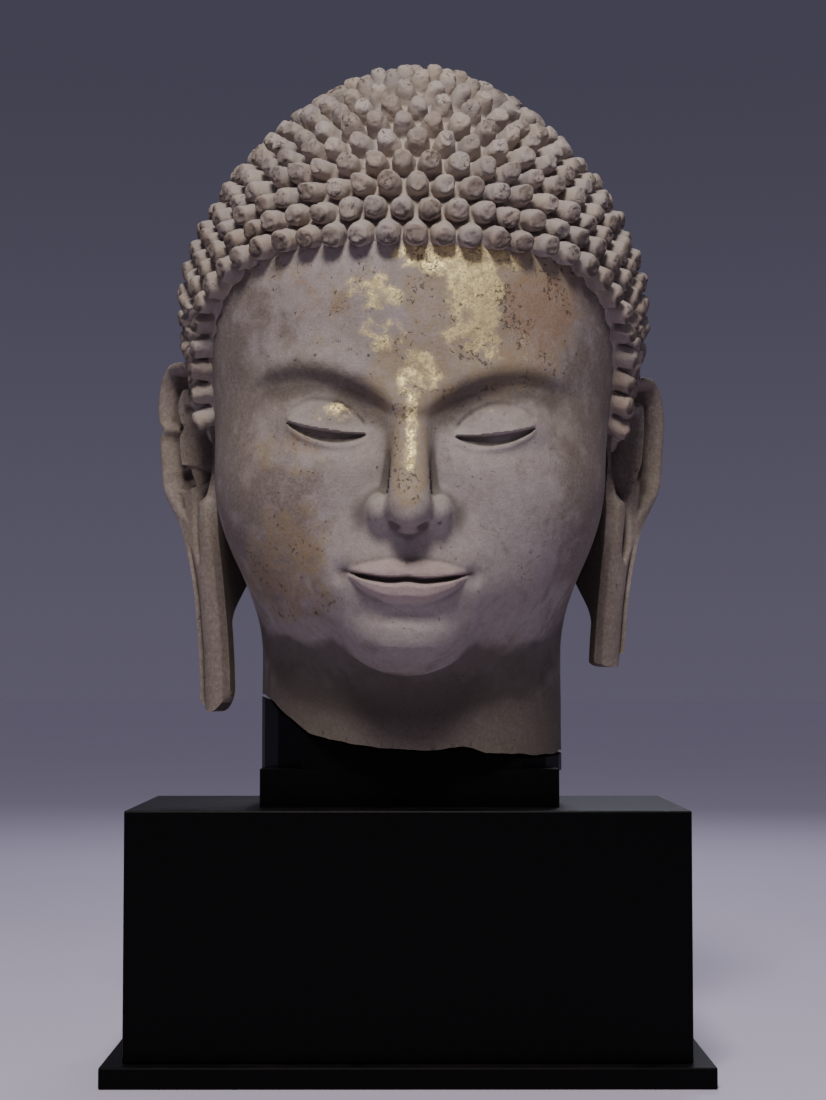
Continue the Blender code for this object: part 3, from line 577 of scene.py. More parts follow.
# Mesh of face, scalp and neck
def closest(points, others):
    """Distance from each point to the nearest of the others, all of them flat or all in space."""
    missing = ((0, 0), (0, 3 - points.shape[1]))
    points, others = np.pad(points, missing), np.pad(others, missing)
    tree = KDTree(len(others))
    for i, p in enumerate(others):
        tree.insert(p, i)
    tree.balance()
    return np.array([tree.find(p)[2] for p in points])


def face_curves(step):
    """Feature lines of the face's right half, as (x, z) points, each a run of joined edges."""
    eye = np.linspace(0.5, 1.5, round(EYE_WIDTH / step)) * EYE_WIDTH
    upper, lower, arch, _ = lid_lines(eye)
    wide = arch > 0.35
    lips = np.linspace(0, 1, round(LIP_HALF / step)) * LIP_HALF
    line, top, low, _ = lip_lines(lips)
    full = top - line > step
    return [
        np.stack([eye, upper], -1), np.stack([eye, lower], -1), np.stack([lips, line], -1),
        np.stack([eye, upper - 0.0014], -1)[wide], np.stack([eye, lower + 0.0020], -1)[wide],
        np.stack([lips, top], -1)[full], np.stack([lips, low], -1)[full],
    ]


def near_features(x, z):
    """Whether a spot is close to an eye, the nose or the mouth."""
    s = np.abs(x)
    eye = np.hypot((s - EYE_WIDTH) / 0.058, (z - EYE_Z) / 0.037)
    nose = np.hypot(s / 0.044, (z - NOSE_Z - 0.03) / 0.064)
    mouth = np.hypot(s / 0.074, (z - MOUTH_Z) / 0.038)
    return np.minimum(np.minimum(eye, nose), mouth) < 1


def hex_grid(step, x_end, low, high):
    """Right half of a grid of equal triangles, its first column on the middle line."""
    rows = np.arange(math.ceil(low / step / HEX_ROW), int(high / step / HEX_ROW))
    columns = np.arange(0, int(x_end / step) + 1)
    i, j = np.meshgrid(columns, rows)
    return np.stack([(i + 0.5 * (j % 2)) * step, j * step * HEX_ROW], -1).reshape(-1, 2)


def face_points(settings):
    """Feature points with their edges, then fillers between them, as (x, z), the left side mirrored."""
    points, edges, known = [], [], {}
    for curve in face_curves(settings.fine_step):
        index = []
        for spot in curve:
            key = tuple(np.round(spot, 5))
            if key not in known:
                known[key] = len(points)
                points.append(spot)
            index.append(known[key])
        edges += list(zip(index, index[1:]))
    lines = np.array(points)
    for step, close in ((settings.fine_step, True), (settings.face_step, False)):
        spots = hex_grid(step, FACE_SIDE, CHIN_Z + 0.018, HAIRLINE_Z + 0.004)
        spots = spots[near_features(spots[:, 0], spots[:, 1]) == close]
        ahead = front_points(spots, scalp)[:, 1] > FACE_BACK
        points += list(spots[ahead & (closest(spots, lines) > step * 0.6)])
    points = np.array(points)
    off_centre = np.nonzero(points[:, 0] > 1e-6)[0]
    twin = np.arange(len(points))
    twin[off_centre] = len(points) + np.arange(len(off_centre))
    edges += [(twin[a], twin[b]) for a, b in edges]
    return np.concatenate([points, points[off_centre] * [-1, 1]]), edges


def ring_turns(count, number):
    """Even bearings round a ring, half a step on in every second ring."""
    return (np.arange(count) + 0.5 * (number % 2)) * 2 * math.pi / count


def sphere_grid(low, high, step):
    """Directions on level rings, about evenly spaced."""
    found = []
    for n, elevation in enumerate(np.arange(low, high, step)):
        count = max(3, round(2 * math.pi * math.cos(elevation) / step))
        turn = ring_turns(count, n)
        found.append(np.stack([np.sin(turn) * math.cos(elevation), np.cos(turn) * math.cos(elevation),
                               np.full(count, math.sin(elevation))], -1))
    return np.concatenate(found)


def neck_rings(step):
    """Directions to upright rings down the neck's side, the lowest one last."""
    count = round(2 * math.pi * NECK_HALF_WIDTH / step)
    rings = []
    for n, height in enumerate(np.arange(NECK_RINGS_BEGIN, -HEAD_ABOVE_POST - NECK_SINK, -step)):
        turn = ring_turns(count, n)
        ring = np.stack([NECK_HALF_WIDTH * np.sin(turn), NECK_HALF_DEPTH * np.cos(turn) - NECK_BACK,
                         np.full(count, height)], -1)
        rings.append(unit(leaning(ring) - STAR))
    return rings


def inside(polygon, points):
    """Which flat points lie inside a closed polygon."""
    within = np.zeros(len(points), bool)
    for a, b in zip(polygon, np.roll(polygon, -1, axis=0)):
        if a[1] != b[1]:
            crosses = (a[1] > points[:, 1]) != (b[1] > points[:, 1])
            at = a[0] + (points[:, 1] - a[1]) * (b[0] - a[0]) / (b[1] - a[1])
            within ^= crosses & (points[:, 0] < at)
    return within


def skin_mesh(settings, corners, chain):
    """Closed mesh of the bald head down to the neck's end, a little lower under the hair."""
    spots, edges = face_points(settings)
    front = unit(front_points(spots, scalp) - STAR)
    rings = neck_rings(settings.side_step)
    step = settings.side_step / HEAD_RADIUS
    below, above = sphere_grid(-1.10, HAIR_ELEVATION, step), sphere_grid(HAIR_ELEVATION, 1.56, 2 * step)
    rest = np.concatenate([below, above])
    rest = rest[closest(rest, front) > step * 0.7]
    necks = np.concatenate(rings)
    rest = rest[closest(rest, necks) > step * 0.8]
    directions = np.concatenate([front, rest, necks])
    triangles = triangulate(flat_map(directions), edges)
    places = lift(directions, bald_head)
    places[:len(spots)] = front_points(spots, bald_head)
    edge = lift(corners[chain], scalp)
    covered = inside(flat_map(corners[chain]), flat_map(directions))
    sink = SCALP_SINK * smoothstep(0.003, 0.012, closest(places, edge)) * covered
    places -= directions * sink[:, None]
    low = list(range(len(directions) - len(rings[-1]), len(directions)))
    mesh = bpy.data.meshes.new("skin")
    mesh.from_pydata(to_world(places).tolist(), [], triangles.tolist() + [low])
    return mesh


# Slabs, whose outer and inner side are grids of the same rows and columns
def slab_mesh(name, sides, rows, columns):
    """Closed mesh of a slab's two sides and the band round them."""
    count = rows * columns
    faces = []
    for base in (0, count):
        for i in range(rows - 1):
            for j in range(columns - 1):
                a = base + i * columns + j
                faces.append((a, a + columns, a + columns + 1, a + 1))
    around = [i * columns for i in range(rows)] + [(rows - 1) * columns + j for j in range(1, columns)]
    around += [i * columns + columns - 1 for i in range(rows - 2, -1, -1)] + list(range(columns - 2, 0, -1))
    faces += [(a, b, b + count, a + count) for a, b in zip(around, around[1:] + around[:1])]
    mesh = bpy.data.meshes.new(name)
    mesh.from_pydata(np.concatenate(sides).tolist(), [], faces)
    return mesh


# Ears
def half_round(v):
    return np.sqrt(np.clip(1 - v ** 2, 0, 1))


def ear_splay(z):
    return EAR_SPLAY + (LOBE_SPLAY - EAR_SPLAY) * smoothstep(-0.02, -0.20, z)


def ear_root(z):
    """Place of the ear's front edge: distance from the middle and distance forward."""
    x = 0.1700 + 0.0125 * smoothstep(-0.26, -0.06, z)
    return x, -0.004 - 0.010 * smoothstep(-0.15, 0.03, z)


def ear_outline(z, top, wide, broken):
    """Front and back edge of the ear at height z, measured back from its root line."""
    heights, places = np.array(EAR_EDGE).T
    edge = sum(np.interp(z + shift, heights, places) for shift in (-0.010, 0.0, 0.010)) / 3
    back = (edge - 0.003 - ear_root(z)[0]) / np.sin(ear_splay(z)) - 0.008 * broken * bump(z + 0.003, 0.006)
    crown = half_round(np.clip(z - wide, 0, None) / (top - wide))
    middle = back * 0.60
    return middle - middle * crown, middle + (back - middle) * crown


def ear_relief(s, z, front, back, top, broken):
    """Height of the carving on the ear's outer face; broken is 1 on the chipped left ear."""
    rim = np.minimum(back - s, (top - z) * 1.2)
    rim = np.minimum(rim, np.where(z > 0.018, s - front, 1.0))
    out = 0.009 + 0.014 * half_round((rim - 0.0075) / 0.0090) * smoothstep(-0.105, -0.055, z)
    out -= 0.008 * bump(rim - 0.0235, 0.0060) * smoothstep(-0.060, -0.030, z)
    out += 0.009 * bump(rim - 0.0370, 0.0080) * smoothstep(-0.070, -0.035, z) * smoothstep(0.050, 0.020, z)
    bowl = 1 - ((s - 0.024 - 0.10 * (z + 0.03)) / 0.021) ** 2 - ((z + 0.030) / 0.046) ** 2
    out -= 0.026 * np.clip(bowl, 0, 1) ** 0.7
    out += 0.009 * bump(s, 0.009) * bump(z + 0.040, 0.018)
    away = s - 0.024 - 0.08 * (z + 0.105)
    out += 0.006 * half_round((s - 0.010) / 0.012) * smoothstep(-0.068, -0.082, z)
    out -= 0.012 * bump(away, 0.0030) * smoothstep(-0.150, -0.132, z) * smoothstep(-0.055, -0.075, z)
    out -= 0.026 * (1 - broken) * bump(away, 0.0042) * bump(z + 0.112, 0.015)
    chip = 1 - np.hypot((s - 0.046) / 0.017, (z + 0.052) / 0.013)
    out -= 0.009 * broken * smoothstep(0.0, 0.25, chip)
    across = np.clip((s - front) / np.maximum(back - front, 1e-4), 0, 1)
    strip = 0.0035 + 0.0095 * half_round((across - 0.40) / 0.43)
    strip += 0.0055 * half_round((across - 0.92) / 0.09)
    lobe = smoothstep(-0.110, -0.142, z)
    return out * (1 - lobe) + strip * lobe


def ear_mesh(side, top, end, tip):
    """Closed slab bent away from the head, carved on its outer face."""
    broken = 1.0 if side < 0 else 0.0
    rows, columns = round((top - end) / EAR_STEP), round(0.10 / EAR_STEP)
    down = np.linspace(0, 1, rows)[:, None]
    across = (1 - np.cos(np.linspace(0, math.pi, columns))) / 2
    chip = LOBE_CHIP * smoothstep(0.70, 0.80, across) if side > 0 else 0.0
    low = end + chip + tip * (1 - np.sqrt(1 - 0.98 * (2 * across - 1) ** 2))
    z = top - EAR_TOP_GAP - down * (top - EAR_TOP_GAP - low)
    front, back = ear_outline(z, top, top - EAR_CROWN, broken)
    s = front + across * (back - front)
    height = ear_relief(s, z, front, back, top, broken)
    edge = np.minimum(smoothstep(0, 0.10, across), smoothstep(1, 0.93, across))
    height = height * (0.30 + 0.70 * edge)
    depth = 0.007 + 0.033 * smoothstep(0.080, 0.020, s) * smoothstep(-0.195, -0.140, z)
    depth = depth * (0.35 + 0.65 * smoothstep(1, 0.8, across))
    splay = ear_splay(z)
    x, f = ear_root(z)
    places = []
    for offset in (height, -depth):
        px = x + s * np.sin(splay) + offset * np.cos(splay)
        pf = f - s * np.cos(splay) + offset * np.sin(splay)
        places.append(np.stack([side * px, -pf, z], -1).reshape(-1, 3) + HEAD_CENTRE)
    return slab_mesh("ear", places, rows, columns)


# The broken neck
def break_height(x, f):
    """Height of the broken underside above the post's mean top."""
    stations = np.array(BREAK_STATIONS)
    ahead = np.interp(x, stations[:, 0], stations[:, 1])
    behind = np.interp(x, stations[:, 0], stations[:, 2])
    t = np.clip((f - BREAK_BACK) / (BREAK_FRONT - BREAK_BACK), 0, 1)
    return behind + (ahead - behind) * t


def break_mesh(depth):
    """Slab under the head; its top is the broken surface, roughened upwards only."""
    xs = np.linspace(-BREAK_SLAB_SIDE, BREAK_SLAB_SIDE, BREAK_ROWS)
    fs = np.linspace(BREAK_SLAB_BACK, BREAK_SLAB_FRONT, BREAK_COLUMNS)
    x, f = [v.ravel() for v in np.meshgrid(xs, fs, indexing="ij")]
    rough = [noise.fractal(Vector((a * 28, b * 28, 3.0)), 0.8, 2.2, 5) for a, b in zip(x, f)]
    chips = [noise.voronoi(Vector((a * 45, b * 45, 1.0)))[0][0] for a, b in zip(x, f)]
    rise = depth * (np.clip(np.array(rough), -1, 1) * 0.5 + 0.5 + 0.6 * np.array(chips))
    top = np.stack([x, -f, POST_TOP + break_height(x, f) + rise], -1)
    bottom = np.stack([x, -f, np.full(len(x), POST_TOP - BREAK_SLAB)], -1)
    return slab_mesh("neck_break", (top, bottom), BREAK_ROWS, BREAK_COLUMNS)


# Mesh tools
def face_outwards(mesh):
    shape = bmesh.new()
    shape.from_mesh(mesh)
    bmesh.ops.recalc_face_normals(shape, faces=shape.faces)
    shape.to_mesh(mesh)
    shape.free()


def put(name, data):
    body = bpy.data.objects.new(name, data)
    bpy.context.scene.collection.objects.link(body)
    return body


def evaluated(body):
    """Plain mesh of an object with its modifiers done, which are then removed."""
    dg = bpy.context.evaluated_depsgraph_get()
    mesh = bpy.data.meshes.new_from_object(body.evaluated_get(dg), preserve_all_data_layers=True,
                                           depsgraph=dg)
    body.modifiers.clear()
    old = body.data
    body.data = mesh
    bpy.data.meshes.remove(old)
    return body


def boolean(body, mesh, operation):
    face_outwards(mesh)
    other = put("tool", mesh)
    step = body.modifiers.new("cut", "BOOLEAN")
    step.operation = operation
    step.solver = "EXACT"
    step.object = other
    evaluated(body)
    bpy.data.objects.remove(other)
    bpy.data.meshes.remove(mesh)


def vectors(items, key):
    """A vector of each of a mesh's items, one a row."""
    flat = np.zeros(len(items) * 3)
    items.foreach_get(key, flat)
    return flat.reshape(-1, 3)


def store(mesh, name, values):
    """Keeps one number a vertex under a name that a material reads."""
    layer = mesh.attributes.new(name, "FLOAT", "POINT")
    layer.data.foreach_set("value", np.ascontiguousarray(values, dtype=np.float32))


def hollowness(mesh, rounds):
    """How far each vertex lies below its surroundings, smoothed over a number of rounds."""
    pairs = np.zeros(len(mesh.edges) * 2, int)
    mesh.edges.foreach_get("vertices", pairs)
    a, b = pairs.reshape(-1, 2).T
    ends, others = np.concatenate([a, b]), np.concatenate([b, a])
    count = np.bincount(ends, minlength=len(mesh.vertices))[:, None]
    start = vectors(mesh.vertices, "co")
    p = start
    for _ in range(rounds):
        total = np.stack([np.bincount(ends, p[others, k], minlength=len(p)) for k in range(3)], -1)
        p = 0.5 * p + 0.5 * total / np.maximum(count, 1)
    return ((p - start) * vectors(mesh.vertex_normals, "vector")).sum(1)


def wear_down(mesh, depth):
    """Lowers the surface unevenly, as hand work and weather leave it."""
    p, n = vectors(mesh.vertices, "co"), vectors(mesh.vertex_normals, "vector")
    loss = np.zeros(len(p))
    for size, weight in ((0.060, 1.0), (0.016, 0.55), (0.005, 0.30)):
        waves = [noise.noise(Vector(v)) for v in p / size]
        loss += weight * (0.5 + 0.5 * np.array(waves))
    chips = np.array([noise.voronoi(Vector(v))[0][0] for v in p / 0.030])
    loss += 2.2 * smoothstep(0.085, 0.020, chips)
    mesh.vertices.foreach_set("co", (p - n * (loss * depth)[:, None]).ravel())


# Where stains, gilding and painted shade lie, in the head's frame
def most(*masks):
    return np.maximum.reduce(masks)


def ovals(x, z, *rows):
    """Soft ovals, each with its strength, middle, half width and half height, the strongest one kept."""
    found = []
    for strength, middle_x, middle_z, half_width, half_height in rows:
        away = np.hypot((x - middle_x) / half_width, (z - middle_z) / half_height)
        found.append(strength * smoothstep(1.45, 0.55, away))
    return most(*found)


def paint_marks(mesh):
    """Stores where gold, ochre, rust, stains, pale stone, lip paint and painted shade lie."""
    q = to_head(vectors(mesh.vertices, "co"))
    x, f, z = q.T
    s = np.abs(x)
    ahead = smoothstep(0.02, 0.09, f)
    crest = brow_line(s)
    top = HAIRLINE_Z
    gold = ovals(
        x, z,
        (1.00, 0.038, top - 0.012, 0.062, 0.016),
        (1.00, 0.052, top - 0.044, 0.026, 0.042),
        (0.72, -0.040, top - 0.042, 0.030, 0.024),
        (0.62, -0.030, top - 0.078, 0.034, 0.018),
        (0.60, 0.060, top - 0.082, 0.050, 0.022),
        (0.75, 0.006, BROW_Z + 0.012, 0.026, 0.026),
    ) * smoothstep(-0.002, 0.006, z - crest)
    ridge = bump(x, 0.0075) * smoothstep(NOSE_Z + 0.030, NOSE_Z + 0.055, z)
    ridge = 0.95 * ridge * smoothstep(BROW_Z + 0.02, BROW_Z - 0.01, z)
    lids = ovals(
        x, z,
        (0.70, -EYE_WIDTH * 0.92, EYE_Z + 0.006, 0.022, 0.010),
        (0.45, EYE_WIDTH * 0.80, EYE_Z + 0.014, 0.026, 0.005),
    )
    store(mesh, "gilt", most(gold, ridge, lids) * ahead)
    ochre = ovals(
        x, z,
        (1.00, 0.072, top - 0.050, 0.080, 0.075),
        (1.00, 0.000, BROW_Z + 0.004, 0.040, 0.040),
        (1.00, 0.000, EYE_Z - 0.02, 0.020, 0.060),
        (0.70, -0.105, MOUTH_Z + 0.004, 0.050, 0.060),
        (0.55, -0.110, EYE_Z - 0.030, 0.050, 0.022),
        (0.50, -0.120, top - 0.015, 0.040, 0.020),
        (0.45, -0.045, top - 0.060, 0.060, 0.045),
    )
    store(mesh, "ochre", ochre * ahead)
    rust = ovals(
        x, z,
        (1.00, 0.112, top - 0.052, 0.036, 0.034),
        (0.55, 0.098, top - 0.096, 0.030, 0.016),
        (0.45, -0.085, top - 0.050, 0.030, 0.030),
        (0.40, -0.100, MOUTH_Z + 0.028, 0.026, 0.030),
    )
    store(mesh, "rust", rust * ahead)
    pale = ovals(
        x, z,
        (1.0, 0.016, top - 0.052, 0.034, 0.034),
        (0.8, -0.080, top - 0.028, 0.050, 0.026),
        (0.8, 0.080, MOUTH_Z + 0.050, 0.070, 0.085),
        (0.7, -0.060, MOUTH_Z + 0.060, 0.045, 0.055),
        (0.8, 0.0, CHIN_Z + 0.040, 0.070, 0.030),
    )
    store(mesh, "pale", pale * ahead)
    # Band under the brow crest: brown staining, and painted shade from the brow ridge
    under_brow = smoothstep(0.012, -0.004, z - crest) * smoothstep(-0.040, -0.018, z - crest)
    under_brow *= smoothstep(0.150, 0.120, s) * smoothstep(0.012, 0.030, s)
    temples = 0.85 * smoothstep(0.10, 0.17, s)
    jaw = ovals(x, z, (0.8, -0.120, MOUTH_Z + 0.030, 0.050, 0.070))
    # Darkening below the chin, laid into the staining mark, is painted shade
    under_chin = smoothstep(CHIN_Z + 0.01, CHIN_Z - 0.03, z)
    store(mesh, "stain", most(0.85 * under_brow, temples, jaw, under_chin, 1 - ahead))
    # Painted shade on the neck below the chin and in the sockets under the brow crest
    shade_below_chin = smoothstep(CHIN_Z + 0.004, CHIN_Z - 0.040, z) * (s < FACE_SIDE)
    store(mesh, "painted_shade", most(shade_below_chin, 0.75 * under_brow))
    _, upper, lower, u = lip_lines(s)
    lips = smoothstep(0.0, 0.002, upper - z) * smoothstep(0.0, 0.002, z - lower) * smoothstep(1.0, 0.9, u)
    store(mesh, "lips", lips * ahead)


# Node helpers
def add(tree, kind, inputs=None, **values):
    """A node with its settings, and its inputs as numbers, colours or links."""
    item = tree.nodes.new(kind)
    for name, value in values.items():
        setattr(item, name, value)
    for key, value in (inputs or {}).items():
        if isinstance(value, bpy.types.NodeSocket):
            tree.links.new(value, item.inputs[key])
        else:
            item.inputs[key].default_value = value
    return item


def maths(tree, operation, first, second=0.0, third=0.0):
    return add(tree, "ShaderNodeMath", {0: first, 1: second, 2: third}, operation=operation).outputs[0]


def times(tree, first, second):
    return maths(tree, "MULTIPLY", first, second)


def blend(tree, factor, first, second):
    """Colour that goes from the first to the second one as the factor goes from 0 to 1."""
    return add(tree, "ShaderNodeMix", {0: factor, 6: first, 7: second}, data_type="RGBA").outputs[2]


def ramp(tree, value, low, high):
    """0 below the low value, 1 above the high one, smooth between them."""
    return add(tree, "ShaderNodeMapRange", {"Value": value, "From Min": low, "From Max": high},
               interpolation_type="SMOOTHSTEP").outputs["Result"]


def mark(tree, name):
    return add(tree, "ShaderNodeAttribute", attribute_name=name).outputs["Fac"]


def upward(tree):
    """How far the surface faces up, from -1 to 1."""
    normal = add(tree, "ShaderNodeNewGeometry").outputs["Normal"]
    return add(tree, "ShaderNodeSeparateXYZ", {0: normal}).outputs["Z"]


def group_of(tree, group, inputs):
    return add(tree, "ShaderNodeGroup", inputs, node_tree=group).outputs


def sized_noise(tree, given, size, share=1.0, **settings):
    """Noise in a shader group, its grain as large as the named size of the group over the share."""
    settings.update(Vector=given["Vector"], Scale=maths(tree, "DIVIDE", share, given[size]))
    return add(tree, "ShaderNodeTexNoise", settings).outputs["Fac"]


def new_group(name, inputs, outputs):
    """An empty shader group with number and vector sockets."""
    if name in bpy.data.node_groups:
        return bpy.data.node_groups[name], None, None
    tree = bpy.data.node_groups.new(name, "ShaderNodeTree")
    for label, default in inputs:
        kind = "NodeSocketVector" if default is None else "NodeSocketFloat"
        socket = tree.interface.new_socket(name=label, in_out="INPUT", socket_type=kind)
        if default is not None:
            socket.default_value = default
    for label in outputs:
        tree.interface.new_socket(name=label, in_out="OUTPUT", socket_type="NodeSocketFloat")
    return tree, tree.nodes.new("NodeGroupInput").outputs, tree.nodes.new("NodeGroupOutput").inputs


def patches_group():
    """Flaky patches: an uneven edge at the size given, broken up again by fine grain."""
    tree, given, made = new_group(
        "Flaky patches",
        (("Vector", None), ("Patch size", 0.03), ("Cover", 0.5), ("Edge", 0.05)),
        ("Mask",))
    if given is None:
        return tree
    broad = sized_noise(tree, given, "Patch size", Detail=9.0, Roughness=0.66, Distortion=0.35)
    level = maths(tree, "SUBTRACT", 0.78, times(tree, given["Cover"], 0.56))
    tree.links.new(ramp(tree, broad, maths(tree, "SUBTRACT", level, given["Edge"]),
                        maths(tree, "ADD", level, given["Edge"])), made["Mask"])
    return tree


def surface_group():
    """Height of worn stone: fine grain with small, uneven pits that gather in places."""
    tree, given, made = new_group(
        "Worn stone surface", (("Vector", None), ("Grain size", 0.002), ("Pit size", 0.004), ("Pits", 0.3)),
        ("Height", "Pit mask", "Grain"))
    if given is None:
        return tree
    grain = sized_noise(tree, given, "Grain size", Detail=6.0, Roughness=0.7)
    holes = sized_noise(tree, given, "Pit size", Detail=3.0, Roughness=0.6, Distortion=0.6)
    spread = sized_noise(tree, given, "Pit size", 0.15, Detail=3.0)
    gathered = times(tree, given["Pits"], ramp(tree, spread, 0.36, 0.66))
    level = maths(tree, "MULTIPLY_ADD", gathered, -0.22, 0.74)
    pit = ramp(tree, maths(tree, "SUBTRACT", holes, level), 0.0, 0.05)
    tree.links.new(pit, made["Pit mask"])
    tree.links.new(grain, made["Grain"])
    tree.links.new(maths(tree, "MULTIPLY_ADD", pit, -1.2, grain), made["Height"])
    return tree


def flakes_on(tree, place):
    """A function that adds flaky patches of a size, a cover and a softness of edge."""
    patches = patches_group()

    def flakes(size, cover, edge):
        sizes = {"Vector": place, "Patch size": size, "Cover": cover, "Edge": edge}
        return group_of(tree, patches, sizes)["Mask"]

    return flakes


def worn_stone(tree, place, grain_size, pit_size, pits):
    return group_of(tree, surface_group(), {
        "Vector": place, "Grain size": grain_size, "Pit size": pit_size, "Pits": pits})


def rgba(value):
    return (*value, 1.0)


def lay(tree, tone, mask, strength, colour):
    """The tone with a colour laid over it where the mask is, at most at the strength given."""
    return blend(tree, times(tree, mask, strength), tone, rgba(colour))


def new_material(name):
    finish = bpy.data.materials.new(name)
    finish.use_nodes = True
    tree = finish.node_tree
    tree.nodes.clear()
    shader = tree.nodes.new("ShaderNodeBsdfPrincipled")
    tree.links.new(shader.outputs[0], tree.nodes.new("ShaderNodeOutputMaterial").inputs["Surface"])
    place = add(tree, "ShaderNodeTexCoord").outputs["Object"]
    return finish, tree, shader.inputs, place


def connect_bump(tree, sockets, height, distance):
    bump_node = add(tree, "ShaderNodeBump", {"Height": height, "Distance": distance, "Strength": 1.0})
    tree.links.new(bump_node.outputs[0], sockets["Normal"])


def stone_material(colours):
    """Mauve-grey limestone with brown and ochre stains, flaked gold leaf, grime and painted shade in its
    hollows, and painted shade under the chin and the brows.
    """
    finish, tree, sockets, place = new_material("gilded_stone")
    flakes = flakes_on(tree, place)

    def broken_up(mask, speckle, least):
        """The mask, taken down to its least share where the speckle is 0."""
        return times(tree, mask, maths(tree, "MULTIPLY_ADD", speckle, 1 - least, least))

    crust = maths(tree, "MAXIMUM", mark(tree, "ochre"), mark(tree, "gilt"))
    worn = worn_stone(tree, place, 0.0020, 0.0036, maths(tree, "MULTIPLY_ADD", crust, 0.50, 0.42))
    fine, coarse = flakes(0.0030, 0.52, 0.10), flakes(0.0085, 0.50, 0.14)
    tone = blend(tree, flakes(0.050, 0.5, 0.16), rgba(colours.stone), rgba(colours.pale))
    tone = lay(tree, tone, mark(tree, "pale"), 0.70, colours.pale)
    tone = lay(tree, tone, coarse, 0.22, colours.brown)
    # Brown staining, and painted shade below the chin
    cover = maths(tree, "MULTIPLY_ADD", mark(tree, "stain"), 0.55, 0.24)
    stained_and_shaded = broken_up(flakes(0.030, cover, 0.13), fine, 0.60)
    tone = lay(tree, tone, stained_and_shaded, 0.78, colours.brown)
    grounds = (("ochre", 0.024, colours.ochre, 0.74), ("rust", 0.015, colours.rust, 0.72))
    for name, size, earth, strength in grounds:
        laid = flakes(size, times(tree, mark(tree, name), 0.84), 0.11)
        laid = broken_up(broken_up(laid, fine, 0.45), coarse, 0.60)
        tone = lay(tree, tone, laid, strength, earth)
    # Painted shade under the chin and under the brows
    tone = lay(tree, tone, mark(tree, "painted_shade"), 0.60, colours.dirt_and_shade)
    tone = lay(tree, tone, mark(tree, "lips"), 0.45, colours.lip)
    # Painted shade, with some grime, in the hollows
    hollow = ramp(tree, mark(tree, "hollow"), 0.0002, 0.0022)
    tone = lay(tree, tone, hollow, 0.72, colours.dirt_and_shade)
    grain = ramp(tree, worn["Grain"], 0.35, 0.70)
    tone = lay(tree, tone, grain, 0.26, colours.brown)
    gilded = flakes(0.026, times(tree, mark(tree, "gilt"), 0.70), 0.09)
    gilded = times(tree, gilded, ramp(tree, mark(tree, "gilt"), 0.05, 0.45))
    ground = broken_up(gilded, flakes(0.0060, 0.60, 0.12), 0.35)
    tone = lay(tree, tone, ground, 0.72, colours.gold_ground)
    leaf = times(tree, ground, flakes(0.0024, 0.62, 0.06))
    leaf = broken_up(leaf, flakes(0.0120, 0.60, 0.10), 0.30)
    tone = blend(tree, leaf, tone, rgba(colours.gold))
    tone = lay(tree, tone, worn["Pit mask"], 0.66, colours.dirt_and_shade)
    tree.links.new(tone, sockets["Base Color"])
    tree.links.new(times(tree, leaf, 0.80), sockets["Metallic"])
    rough = add(tree, "ShaderNodeMapRange", {"Value": leaf, "To Min": 0.78, "To Max": 0.38}).outputs[0]
    tree.links.new(rough, sockets["Roughness"])
    connect_bump(tree, sockets, maths(tree, "MULTIPLY_ADD", leaf, 0.25, worn["Height"]), 0.0007)
    return finish


def hair_material(colours):
    """Dusty grey-brown stone, each curl a little different: upward faces paler from a dusting and painted
    light, the curls' ends darker from grime and painted shade, their undersides and the hollows between
    curls darker from painted shade and some grime.
    """
    finish, tree, sockets, place = new_material("hair_stone")
    flakes = flakes_on(tree, place)

    end = ramp(tree, mark(tree, "tip"), 0.30, 0.90)
    worn = worn_stone(tree, place, 0.0022, 0.0036, maths(tree, "MULTIPLY_ADD", end, 0.50, 0.40))
    tone = blend(tree, flakes(0.040, 0.5, 0.16), rgba(colours.hair), rgba(colours.pale))
    own = mark(tree, "tone")
    tone = lay(tree, tone, own, 0.42, colours.brown)
    ruddy = ramp(tree, flakes(0.060, 0.42, 0.10), 0.2, 1.0)
    tone = lay(tree, tone, ruddy, 0.16, colours.rust)
    # Upward faces of the curls paler, partly from a dusting and partly as painted light from above
    facing = upward(tree)
    paler_tops = ramp(tree, facing, 0.20, 0.90)
    tone = lay(tree, tone, paler_tops, 0.35, colours.pale)
    # Ends of the curls darker, partly from grime and partly as painted shade
    crust = maths(tree, "MULTIPLY_ADD", flakes(0.0060, 0.58, 0.14), 0.60, 0.25)
    crusted_and_shaded_ends = times(tree, times(tree, end, crust), ramp(tree, own, 0.0, 0.75))
    tone = blend(tree, crusted_and_shaded_ends, tone, rgba(colours.curl_end_grime_and_shade))
    # Painted shade, with some grime, on the downward faces of the curls' ends
    under = times(tree, end, ramp(tree, facing, -0.10, -0.75))
    tone = lay(tree, tone, under, 0.70, colours.dirt_and_shade)
    # Painted shade, with some grime, in the hollows between the curls
    hollow = ramp(tree, mark(tree, "hollow"), 0.0004, 0.0034)
    tone = lay(tree, tone, hollow, 0.40, colours.dirt_and_shade)
    tone = lay(tree, tone, worn["Pit mask"], 0.60, colours.dirt_and_shade)
    tree.links.new(tone, sockets["Base Color"])
    sockets["Roughness"].default_value = 0.88
    connect_bump(tree, sockets, worn["Height"], 0.0010)
    return finish


def stand_material(colours):
    """Satin black lacquer with a faint grain, its level tops a little dusty."""
    finish, tree, sockets, place = new_material("black_lacquer")
    worn = worn_stone(tree, place, 0.004, 0.020, 0.05)
    paler_tops = times(tree, ramp(tree, upward(tree), 0.6, 0.98), flakes_on(tree, place)(0.05, 0.6, 0.2))
    tree.links.new(lay(tree, rgba(colours.stand), paler_tops, 0.02, colours.pale), sockets["Base Color"])
    rough = add(tree, "ShaderNodeMapRange", {"Value": worn["Grain"], "To Min": 0.36, "To Max": 0.50})
    tree.links.new(rough.outputs[0], sockets["Roughness"])
    sockets["Specular IOR Level"].default_value = 0.09
    connect_bump(tree, sockets, worn["Grain"], 0.00012)
    return finish


